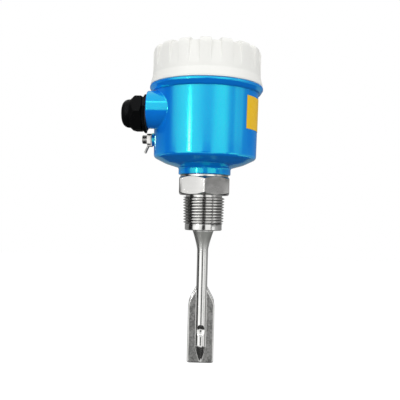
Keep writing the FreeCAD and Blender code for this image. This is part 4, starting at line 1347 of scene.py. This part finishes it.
@dataclass
class RimThread:
    """Ridge of the screw thread between the rim of the housing and the cover."""

    name: str
    body: Body
    slot: str
    finish: Finish
    hand: Hand
    wall: float
    height: float
    bottom: float
    turns: int
    pitch: float = 2.0
    foot: float = 1.1
    crest: float = 0.25
    sunk: float = 0.3
    run_out: float = 50.0
    least: float = 0.02
    steps: int = 160

    def build(self) -> None:
        """Builds, dresses and hands over the ridge."""
        side = self.hand.value
        lower = [(-self.sunk, self.foot), (0.0, self.foot), (self.height, self.crest)]
        outline = [(self.wall + side * out, self.bottom - wide / 2) for out, wide in lower]
        outline += [(self.wall + side * out, self.bottom + wide / 2) for out, wide in reversed(lower)]
        piece = Bench.helix(self.name, outline, self.pitch, self.turns, self.steps, ring=True)
        length = self.turns * 360.0
        for vertex in piece.data.vertices:
            radius = math.hypot(vertex.co.x, vertex.co.y) / MM
            proud = (radius - self.wall) * side
            if proud <= 0:
                continue
            turn = math.degrees(math.atan2(vertex.co.y, vertex.co.x)) % 360.0
            middle = (vertex.co.z / MM - self.bottom) / self.pitch * 360.0
            along = turn + 360.0 * round((middle - turn) / 360.0)
            share = min(1.0, max(self.least, min(along, length - along) / self.run_out))
            grown = self.wall + side * proud * share
            vertex.co.x *= grown / radius
            vertex.co.y *= grown / radius
        Bench.edit(piece)
        bpy.ops.mesh.remove_doubles(threshold=WELD)
        bpy.ops.mesh.fill_holes(sides=0)
        bpy.ops.mesh.select_all(action="SELECT")
        bpy.ops.mesh.normals_make_consistent(inside=False)
        Bench.close()
        Bench.smooth(piece, 30.0)
        dress(piece, self.finish)
        hand_over(piece, self.body, self.slot)


@dataclass
class Fork:
    """Pilot with its diaphragm and two tines, each a half-round stem that spreads into a ridged paddle."""

    pilot: float = 12.0
    pilot_end: float = -22.6
    pilot_edge: float = 0.6
    seat: float = -18.52
    seat_edge: float = 0.15
    lip: float = 8.95
    lip_top: float = -16.0
    lip_wall: float = 1.0
    diaphragm: float = -21.2
    tip: float = -106.9
    inner_face: float = 5.0
    axis: float = 6.5
    rod: float = 3.5
    root_half_width: float = 7.0
    root_half_depth: float = 5.2
    root_length: float = 12.4
    root_sunk: float = 0.7
    root_curve: float = 1.35
    shoulder: Point = (-58.6, -68.6)
    shoulder_half: float = 2.975
    paddle_half: float = 8.4
    paddle_thickness: float = 3.0
    shoulder_round: float = 9.0
    corner_round: float = 1.2
    edge_round: float = 0.7
    point_length: float = 10.0
    point_radius: float = 1.35
    point_setback: float = 0.6
    ball: float = 5.0
    ball_depth: float = 1.6
    ball_height: float = -86.2
    seam: float = 0.45
    inner_fillet: float = 0.25
    ball_fillet: float = 0.2
    outside: float = 9.0
    ray_length: float = 14.0
    halvings: int = 34
    bend_weight: float = 1.1
    section_drop: float = 6.0
    section_steps: int = 4001
    root_start: float = 0.6
    shoulder_tail: float = 2.5
    margin: float = 0.3
    point_gap: float = 0.02
    tip_gap: float = 0.001
    sections: tuple[int, ...] = (14, 12, 34, 10, 40, 4, 26)
    tip_sections: int = 12
    arc_steps: int = 16
    pilot_steps: int = 128
    around: int = 132
    paddle_fade: float = 2.0
    ridge_foot: Point = (0.15, 0.3)
    inner_band: Point = (0.3, 0.2)
    rim_width: float = 1.15
    rim_fade: float = 0.5
    flat_mask: ClassVar[str] = "flat_mask"
    rim_mask: ClassVar[str] = "rim_mask"

    def half_widths(self, heights: np.ndarray) -> np.ndarray:
        """Finds the half width of the paddle's outline at each height.

        Args:
            heights: the heights in millimetres.

        Returns:
            The half widths in millimetres, 0 above the paddle.
        """
        outline = rounded([
            (self.shoulder_half, self.shoulder[0]),
            (self.paddle_half, self.shoulder[1], self.shoulder_round),
            (self.paddle_half, self.tip, self.corner_round), (0.0, self.tip)], self.arc_steps)
        table = np.array(outline)[::-1]
        found = np.interp(heights, table[:, 1], table[:, 0])
        return np.where(heights > self.shoulder[0], 0.0, found)

    @staticmethod
    def soft_union(first: np.ndarray, second: np.ndarray, size: float) -> np.ndarray:
        """Joins two distance fields with a small fillet."""
        share = np.clip(0.5 + 0.5 * (second - first) / size, 0, 1)
        return second + (first - second) * share - size * share * (1 - share)

    def ridge_field(self, x: np.ndarray, y: np.ndarray, z: np.ndarray) -> np.ndarray:
        """Measures from the round stem and its pointed ridge, below zero inside.

        Args:
            x: sideways places in millimetres.
            y: places from the middle plane in millimetres.
            z: heights in millimetres.

        Returns:
            Approximate distances in millimetres.
        """
        root_top = self.pilot_end + self.root_sunk
        share = np.clip((root_top - z) / (self.root_length + self.root_sunk), 0, 1)
        flare = (1 - share) ** self.root_curve
        wide = self.rod + (self.root_half_width - self.rod) * flare
        deep = self.rod + (self.root_half_depth - self.rod) * flare
        point_end = self.tip + self.point_setback
        sharp = np.clip((point_end + self.point_length - z) / self.point_length, 0, 1)
        shrink = 1 + (self.point_radius / self.rod - 1) * sharp
        wide = wide * shrink
        deep = deep * shrink
        ridge = (np.hypot(x / wide, (y - self.axis) / deep) - 1) * np.minimum(wide, deep)
        return np.where(z < point_end, self.outside, ridge)

    def paddle_field(self, x: np.ndarray, y: np.ndarray, z: np.ndarray) -> np.ndarray:
        """Measures from the flat paddle with its rounded edges, below zero inside.

        Args:
            x: sideways places in millimetres.
            y: places from the middle plane in millimetres.
            z: heights in millimetres.

        Returns:
            Approximate distances in millimetres.
        """
        half = self.half_widths(z)
        end = np.clip((self.tip + self.edge_round - z) / self.edge_round, 0, 1)
        trim = self.edge_round * (1 - np.sqrt(1 - np.minimum(end, 0.999) ** 2))
        middle = self.inner_face + self.paddle_thickness / 2
        qx = np.abs(x) - (half - trim - self.edge_round)
        qy = np.abs(y - middle) - (self.paddle_thickness / 2 - trim - self.edge_round)
        slab = np.hypot(np.maximum(qx, 0), np.maximum(qy, 0)) + np.minimum(np.maximum(qx, qy), 0)
        return np.where(half > 0, slab - self.edge_round, self.outside)

    def field(self, x: np.ndarray, y: np.ndarray, z: np.ndarray) -> np.ndarray:
        """Measures from the surface of the rear tine, below zero inside it.

        Args:
            x: sideways places in millimetres.
            y: places from the middle plane in millimetres.
            z: heights in millimetres.

        Returns:
            Approximate distances in millimetres.
        """
        solid = self.soft_union(self.ridge_field(x, y, z), self.paddle_field(x, y, z), self.seam)
        solid = -self.soft_union(-solid, y - self.inner_face, self.inner_fillet)
        ball_y = self.axis + self.rod - self.ball_depth + self.ball
        ball = np.sqrt(x ** 2 + (y - ball_y) ** 2 + (z - self.ball_height) ** 2) - self.ball
        return -self.soft_union(-solid, ball, self.ball_fillet)

    def levels(self) -> np.ndarray:
        """Spaces the sections, closer together where the shape changes quickly.

        Returns:
            The heights in millimetres, from the top down.
        """
        point_end = self.tip + self.point_setback
        reach = math.sqrt(self.ball ** 2 - (self.ball - self.ball_depth) ** 2)
        stops = (
            self.pilot_end + self.root_start, self.pilot_end - self.root_length,
            self.shoulder[0] + self.margin, self.shoulder[1] - self.shoulder_tail,
            self.ball_height + reach + self.margin, self.ball_height - reach - self.margin,
            point_end + self.point_length, point_end + self.point_gap)
        runs = zip(stops, stops[1:], self.sections)
        found = [np.linspace(high, low, count, endpoint=False) for high, low, count in runs]
        arc = np.linspace(0, math.pi / 2, self.tip_sections)
        ending = self.tip + self.corner_round * (1 - np.sin(arc))
        ending[-1] = self.tip + self.tip_gap
        heights = np.concatenate([*found, [point_end - self.point_gap], ending])
        return np.unique(np.round(heights, 4))[::-1]

    def exits(self, angles: np.ndarray, heights: np.ndarray) -> np.ndarray:
        """Finds where rays from the middle of the stem leave the tine, by halving.

        Args:
            angles: directions of the rays in radians.
            heights: levels of the rays in millimetres.

        Returns:
            Lengths of the rays, one row for each level.
        """
        turn, level = np.meshgrid(angles, heights)
        low = np.zeros_like(turn)
        high = np.full_like(turn, self.ray_length)
        for _ in range(self.halvings):
            reach = (low + high) / 2
            inside = self.field(reach * np.cos(turn), self.axis + reach * np.sin(turn), level) < 0
            low = np.where(inside, reach, low)
            high = np.where(inside, high, reach)
        return (low + high) / 2

    def directions(self) -> np.ndarray:
        """Divides the paddle's section evenly along its outline.

        Returns:
            The directions in radians.
        """
        fine = np.linspace(-math.pi / 2, 1.5 * math.pi, self.section_steps)
        reach = self.exits(fine, np.array([self.shoulder[1] - self.section_drop]))[0]
        x, y = reach * np.cos(fine), reach * np.sin(fine)
        along = np.concatenate([[0], np.cumsum(np.hypot(np.diff(x), np.diff(y)))])
        bend = np.abs(np.gradient(np.unwrap(np.arctan2(np.gradient(y), np.gradient(x)))))
        along = along + self.bend_weight * np.cumsum(bend)
        marks = np.linspace(0, along[-1], self.around, endpoint=False)
        return np.interp(marks, along, fine)

    def tine(self) -> Piece:
        """Extrudes the rear tine section by section and draws it to its shape.

        Returns:
            A closed shell with its masks.
        """
        levels = self.levels()
        angles = self.directions()
        reach = self.exits(angles, levels)
        piece = Bench.add(
            "tine", bpy.ops.mesh.primitive_circle_add, vertices=self.around, radius=self.rod * MM,
            fill_type="NGON", location=(0, 0, levels[0] * MM))
        Bench.edit(piece)
        for upper, lower in zip(levels, levels[1:]):
            move = {"value": (0, 0, (lower - upper) * MM)}
            bpy.ops.mesh.extrude_region_move(TRANSFORM_OT_translate=move)
        Bench.close()
        rows = {}
        for vertex in piece.data.vertices:
            row = int(np.argmin(np.abs(levels - vertex.co.z / MM)))
            turn = math.atan2(vertex.co.y, vertex.co.x)
            rows.setdefault(row, []).append((turn % TURN, vertex.index))
        for row, found in rows.items():
            for column, (_, index) in enumerate(sorted(found)):
                away = reach[row, column]
                turn = angles[column]
                spot = (away * math.cos(turn), self.axis + away * math.sin(turn), levels[row])
                piece.data.vertices[index].co = Vector(spot) * MM
        Bench.mend(piece)
        self.mask(piece)
        return piece

    def mask(self, piece: Piece) -> None:
        """Marks the blasted flats and the bright rims of a tine on its mesh.

        Args:
            piece: the tine.
        """
        spots = np.empty(3 * len(piece.data.vertices))
        piece.data.vertices.foreach_get("co", spots)
        x, y, z = spots.reshape(-1, 3).T / MM
        ridge = self.ridge_field(x, y, z)
        inward = self.half_widths(z) - np.abs(x)
        paddle = np.clip((self.shoulder[0] - z) / self.paddle_fade, 0, 1)
        outer = np.clip((ridge - self.ridge_foot[0]) / self.ridge_foot[1], 0, 1)
        inner = np.clip((self.inner_face + self.inner_band[0] - y) / self.inner_band[1], 0, 1)
        face = paddle * np.maximum(outer, inner)
        rim = face * np.clip((self.rim_width - inward) / self.rim_fade, 0, 1)
        flat = face * (1 - rim)
        for name, values in ((self.flat_mask, flat), (self.rim_mask, rim)):
            layer = piece.data.attributes.new(name, "FLOAT", "POINT")
            layer.data.foreach_set("value", values.astype(np.float32))

    def build(self) -> None:
        """Builds, dresses and hands over the fork."""
        outline = rounded([
            (0.0, self.pilot_end), (self.pilot, self.pilot_end, self.pilot_edge),
            (self.pilot, self.seat, self.seat_edge), (self.lip, self.seat), (self.lip, self.lip_top),
            (self.lip - self.lip_wall, self.lip_top), (self.lip - self.lip_wall, self.diaphragm),
            (0.0, self.diaphragm)])
        piece = Bench.turned("fork_forged", outline, self.pilot_steps)
        rear = self.tine()
        front = rear.copy()
        front.data = rear.data.copy()
        bpy.context.scene.collection.objects.link(front)
        front.data.transform(Matrix.Rotation(math.pi, 4, "Z"))
        Bench.joined(piece, rear, front)
        Bench.smooth(piece, 32.0)
        dress(piece, FORK_STEEL)
        hand_over(piece, Body.SWITCH, "stainless", "fork")


@dataclass(frozen=True)
class Lamp:
    """Soft rectangular lamp that looks at the object."""

    name: str
    azimuth: float
    elevation: float
    distance: float
    size: Point
    radiance: float


@dataclass
class Studio:
    """Floor, white surround, reflecting wall, lamps and camera."""

    floor_height: float = -0.40
    floor_size: float = 9.0
    floor_colour: Rgb = (0.28, 0.28, 0.28)
    floor_rough: float = 0.9
    floor_lift: Point = (0.73, 0.82)
    floor_reach: Point = (0.25, 0.9)
    ambient: float = 0.77
    wall_radius: float = 0.95
    wall_bottom: float = -0.75
    wall_top: float = 0.95
    wall_changes: tuple[Point, ...] = ((-0.012, 0.012), (0.06, 0.13))
    wall_crown: Point = (0.70, 0.80)
    crown_level: float = 2.2
    low_levels: tuple[Point, ...] = (
        (-180, 0.36), (-154, 0.38), (-106, 0.34), (-97, 0.03), (-70, 0.03), (-66, 1.2), (-60, 1.5),
        (-40, 1.9), (-25, 1.5), (-17, 1.2), (-10, 1.1), (-7, 0.06), (11, 0.05), (13.5, 1.2), (19, 1.35),
        (30, 1.35), (39, 1.4), (46, 1.4), (48.5, 0.12), (53, 0.12), (56, 1.5), (70, 1.45), (80, 0.62),
        (112, 0.42), (180, 0.30))
    middle_levels: tuple[Point, ...] = (
        (-180, 0.36), (-100, 0.36), (-95, 0.02), (-68, 0.02), (-65, 1.0), (-60, 1.15), (-48, 1.45),
        (-40, 1.6), (-7, 1.4), (-4.5, 0.07), (11, 0.06), (13.5, 1.3), (45, 1.4), (49, 1.2), (51.5, 0.04),
        (64, 0.05), (69, 0.45), (80, 0.40), (90, 0.15), (104, 0.30), (180, 0.22))
    high_levels: tuple[Point, ...] = (
        (-180, 0.30), (-110, 0.10), (-93, 0.02), (-84, 0.05), (-78, 0.35), (-73, 0.9), (-66, 1.2),
        (-60, 1.35), (-50, 1.65), (-40, 1.75), (-24, 1.65), (-16, 1.5), (-8, 1.2), (-3, 1.05), (8, 0.95),
        (14, 1.15), (20, 1.5), (30, 1.65), (40, 1.65), (46, 1.3), (52, 0.75), (58, 0.5), (62, 0.6),
        (67, 1.05), (73, 0.85), (84, 0.8), (90, 0.3), (112, 0.1), (180, 0.30))
    wall_steps: int = 180
    strip_azimuth: float = -34.5
    strip_gap: float = 0.02
    strip_width: float = 0.17
    strip_span: Point = (0.060, 0.30)
    strip_rise: Point = (-0.5, -0.41)
    strip_fade: Point = (0.38, -0.44)
    strip_level: float = 35.0
    ring_radii: Point = (0.0365, 0.109)
    ring_height: float = 0.0390
    cards: tuple[tuple[float, Xyz], ...] = (
        (0.55, (-0.28, -0.05, -0.390)), (0.60, (0.0, 0.45, -0.388)), (0.30, (0.42, -0.26, -0.386)))
    card_level: float = 0.05
    card_steps: int = 96
    lamps: tuple[Lamp, ...] = (
        Lamp("key_softbox", -42, 14, 0.95, (0.8, 0.9), 1.42),
        Lamp("fill_softbox", 42, 10, 0.95, (0.7, 0.9), 1.38),
        Lamp("left_rear_softbox", -125, 8, 0.95, (0.7, 0.9), 0.8),
        Lamp("right_rear_softbox", 125, 8, 0.95, (0.7, 0.9), 0.8),
    )
    target: Xyz = (0.0, 0.0, 0.02)
    lens: float = 54.0
    sensor: float = 36.0
    clip: float = 0.01
    camera_distance: float = 0.390
    camera_height: float = -0.0095
    camera_roll: float = 1.4
    camera_shift: Point = (-0.009, 0.025)

    @staticmethod
    def seen_share(sheet: Sheet) -> Socket:
        """Tells camera, glossy and transmission rays from all others.

        Args:
            sheet: node tree of the material or the world.

        Returns:
            The share, 0 or 1.
        """
        path = sheet.add("ShaderNodeLightPath")
        both = sheet.calc("MAXIMUM", path.outputs["Is Camera Ray"], path.outputs["Is Glossy Ray"])
        return sheet.calc("MAXIMUM", both, path.outputs["Is Transmission Ray"])

    def surround(self) -> None:
        """Makes the world: plain white where it is seen, a soft level as light."""
        world = bpy.data.worlds.new("surround")
        bpy.context.scene.world = world
        world.use_nodes = True
        sheet = Sheet(world.node_tree)
        background = world.node_tree.nodes["Background"]
        seen = self.seen_share(sheet)
        level = sheet.calc("MULTIPLY_ADD", seen, 1 - self.ambient, self.ambient)
        background.inputs["Color"].default_value = WHITE
        sheet.feed(background.inputs["Strength"], level)

    def floor(self) -> None:
        """Makes a pale floor that keeps the object's shadow."""
        floor = Bench.add(
            "studio_floor", bpy.ops.mesh.primitive_plane_add, settle=False, size=self.floor_size,
            location=(0, 0, self.floor_height))
        material = bpy.data.materials.new("pale_floor")
        material.use_nodes = True
        sheet = Sheet(material.node_tree)
        away = sheet.add("ShaderNodeVectorMath", operation="LENGTH")
        sheet.feed(away.inputs[0], sheet.add("ShaderNodeTexCoord").outputs["Object"])
        pale = sheet.span(away.outputs["Value"], *self.floor_reach, *self.floor_lift)
        lift = sheet.calc("MULTIPLY", self.seen_share(sheet), pale)
        shader = material.node_tree.nodes["Principled BSDF"]
        for name, value in (
                ("Base Color", (*self.floor_colour, 1.0)), ("Roughness", self.floor_rough),
                ("Specular IOR Level", 0.0), ("Emission Color", WHITE), ("Emission Strength", lift)):
            sheet.feed(shader.inputs[name], value)
        floor.data.materials.append(material)

    @staticmethod
    def glow(card: Piece, backing: Backing) -> tuple[Sheet, bpy.types.Node]:
        """Gives a card a glowing material and hides it from everything but reflections.

        Args:
            card: the card.
            backing: what shows through the card's light.

        Returns:
            The node tree of the material and its light.
        """
        material = bpy.data.materials.new(card.name)
        material.use_nodes = True
        material.cycles.emission_sampling = "NONE"
        material.node_tree.nodes.clear()
        sheet = Sheet(material.node_tree)
        light = sheet.add("ShaderNodeEmission")
        shown = light.outputs[0]
        if backing is not Backing.SOLID:
            clear = sheet.add("ShaderNodeBsdfTransparent").outputs[0]
            joint = sheet.add("ShaderNodeAddShader" if backing is Backing.CLEAR else "ShaderNodeMixShader")
            if backing is Backing.ONE_SIDED:
                sheet.feed(joint.inputs[0], sheet.add("ShaderNodeNewGeometry").outputs["Backfacing"])
            sheet.feed(joint.inputs[-2], shown)
            sheet.feed(joint.inputs[-1], clear)
            shown = joint.outputs[0]
        end = sheet.add("ShaderNodeOutputMaterial")
        sheet.feed(end.inputs["Surface"], shown)
        card.data.materials.append(material)
        for ray in ("camera", "diffuse", "transmission", "shadow", "volume_scatter"):
            setattr(card, f"visible_{ray}", False)
        return sheet, light

    @staticmethod
    def ramp(sheet: Sheet, share: Socket, levels: Sequence[Point]) -> Socket:
        """Draws levels of light round the wall.

        Args:
            sheet: node tree of the wall.
            share: place round the wall, 0.5 at the camera's side.
            levels: (azimuth from the camera in degrees, level) of each point.

        Returns:
            The level as a grey colour.
        """
        node = sheet.add("ShaderNodeValToRGB")
        points = node.color_ramp.elements
        points.remove(points[1])
        for index, (azimuth, level) in enumerate(levels):
            spot = azimuth / 360 + 0.5
            point = points.new(spot) if index else points[0]
            point.position = spot
            point.color = (level, level, level, 1.0)
        sheet.feed(node.inputs[0], share)
        return node.outputs[0]

    def wall(self) -> None:
        """Makes the round wall of pale and dark strips that the metal and gloss reflect."""
        wall = Bench.add(
            "studio_wall", bpy.ops.mesh.primitive_cylinder_add, vertices=self.wall_steps,
            radius=self.wall_radius, depth=self.wall_top - self.wall_bottom, end_fill_type="NOTHING",
            location=(0, 0, (self.wall_top + self.wall_bottom) / 2))
        sheet, light = self.glow(wall, Backing.SOLID)
        place = sheet.add("ShaderNodeTexCoord").outputs["Object"]
        backward = sheet.calc("MULTIPLY", sheet.axis(place, "Y"), -1.0)
        azimuth = sheet.calc("ARCTAN2", sheet.axis(place, "X"), backward)
        share = sheet.calc("MULTIPLY_ADD", azimuth, 1 / TURN, 0.5)
        height = sheet.axis(place, "Z")
        level = self.ramp(sheet, share, self.low_levels)
        for change, levels in zip(self.wall_changes, (self.middle_levels, self.high_levels)):
            level = sheet.blend(sheet.span(height, *change), level, self.ramp(sheet, share, levels))
        sheet.feed(light.inputs["Color"], level)
        sheet.feed(light.inputs["Strength"], sheet.span(height, *self.wall_crown, 1.0, self.crown_level))

    def strip(self) -> None:
        """Makes the narrow upright lamp whose reflection runs down the gloss as a white streak."""
        low, high = self.strip_span
        around = math.radians(self.strip_azimuth)
        away = Vector((math.sin(around), -math.cos(around), 0)) * (self.wall_radius - self.strip_gap)
        strip = Bench.add(
            "studio_strip", bpy.ops.mesh.primitive_plane_add, settle=False, size=1.0,
            location=(away.x, away.y, (low + high) / 2), rotation=(math.pi / 2, 0, around))
        strip.scale = (self.strip_width, high - low, 1.0)
        sheet, light = self.glow(strip, Backing.CLEAR)
        place = sheet.add("ShaderNodeTexCoord").outputs["Object"]
        across = sheet.span(sheet.calc("ABSOLUTE", sheet.axis(place, "X")), 0.5, 0.0)
        along = sheet.axis(place, "Y")
        fade = sheet.span(along, *self.strip_fade)
        level = sheet.calc("MULTIPLY", sheet.span(along, *self.strip_rise), self.strip_level)
        for soft in (across, across, fade, fade):
            level = sheet.calc("MULTIPLY", level, soft)
        sheet.feed(light.inputs["Strength"], level)

    def dark_card(self, name: str, radius: float, centre: Xyz, hole: float = 0.0) -> None:
        """Makes a dark round card that faces up, seen only in faces that look down at it.

        Args:
            name: name of the card.
            radius: its radius in metres.
            centre: its middle in metres.
            hole: radius of the hole in it in metres.
        """
        card = Bench.add(
            name, bpy.ops.mesh.primitive_circle_add, settle=False, vertices=self.card_steps, radius=radius,
            fill_type="NGON", location=centre)
        if hole:
            Bench.edit(card)
            bpy.ops.mesh.inset(thickness=radius - hole)
            bpy.ops.mesh.delete(type="FACE")
            Bench.close()
        _, light = self.glow(card, Backing.ONE_SIDED)
        light.inputs["Strength"].default_value = self.card_level

    def lay_cards(self) -> None:
        """Makes the dark cards on the floor and the dark ring under the flange."""
        for number, (radius, centre) in enumerate(self.cards, 1):
            self.dark_card(f"studio_dark_card_{number}", radius, centre)
        hole, radius = self.ring_radii
        self.dark_card("studio_dark_ring", radius, (0.0, 0.0, self.ring_height), hole)

    def light(self, lamp: Lamp) -> None:
        """Hangs one lamp.

        Args:
            lamp: the lamp.
        """
        data = bpy.data.lights.new(lamp.name, "AREA")
        data.shape = "RECTANGLE"
        data.size, data.size_y = lamp.size
        data.energy = lamp.radiance * math.pi * lamp.size[0] * lamp.size[1]
        item = bpy.data.objects.new(lamp.name, data)
        bpy.context.scene.collection.objects.link(item)
        around, up = math.radians(lamp.azimuth), math.radians(lamp.elevation)
        away = Vector((math.sin(around) * math.cos(up), -math.cos(around) * math.cos(up), math.sin(up)))
        item.location = Vector(self.target) + away * lamp.distance
        item.rotation_mode = "QUATERNION"
        item.rotation_quaternion = away.to_track_quat("Z", "Y")
        item.visible_camera = False
        item.visible_glossy = False

    def camera(self) -> None:
        """Sets the camera nearly level with the hexagon, a little rolled, as the photo was taken."""
        data = bpy.data.cameras.new("camera")
        data.lens = self.lens
        data.sensor_width = self.sensor
        data.sensor_fit = "HORIZONTAL"
        data.shift_x, data.shift_y = self.camera_shift
        data.clip_start = self.clip
        camera = bpy.data.objects.new("camera", data)
        bpy.context.scene.collection.objects.link(camera)
        place = Matrix.Translation((0, -self.camera_distance, self.camera_height))
        roll = Matrix.Rotation(math.radians(self.camera_roll), 4, "Z")
        camera.matrix_world = place @ Matrix.Rotation(math.pi / 2, 4, "X") @ roll
        bpy.context.scene.camera = camera

    def build(self) -> None:
        """Builds the whole studio."""
        bpy.context.scene.view_settings.view_transform = "Standard"
        for step in (self.surround, self.floor, self.wall, self.strip, self.lay_cards):
            step()
        for lamp in self.lamps:
            self.light(lamp)
        self.camera()


def dress_nodes() -> None:
    """Gives every node of the frame its finish."""
    for finish, names in NODE_FINISHES.items():
        for name in names:
            dress(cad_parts[name], finish)
            LOG.info("%s: dressed in %s", name, finish.name)


def main() -> None:
    """Builds the level switch and its studio."""
    logging.basicConfig(level=logging.INFO, format="%(message)s")
    dress_nodes()
    ProcessFitting().build()
    Cover().build()
    Fork().build()
    RimThread(
        "rim_thread", Body.SWITCH, "housing_paint", BLUE_PAINT, Hand.OUTSIDE,
        wall=31.2, height=0.62, bottom=71.1, turns=3).build()
    RimThread(
        "cover_thread", Body.COVER, "cover_paint", PALE_PAINT, Hand.INSIDE,
        wall=32.0, height=0.6, bottom=72.1, turns=3).build()
    Studio().build()


if __name__ == "__main__":
    main()
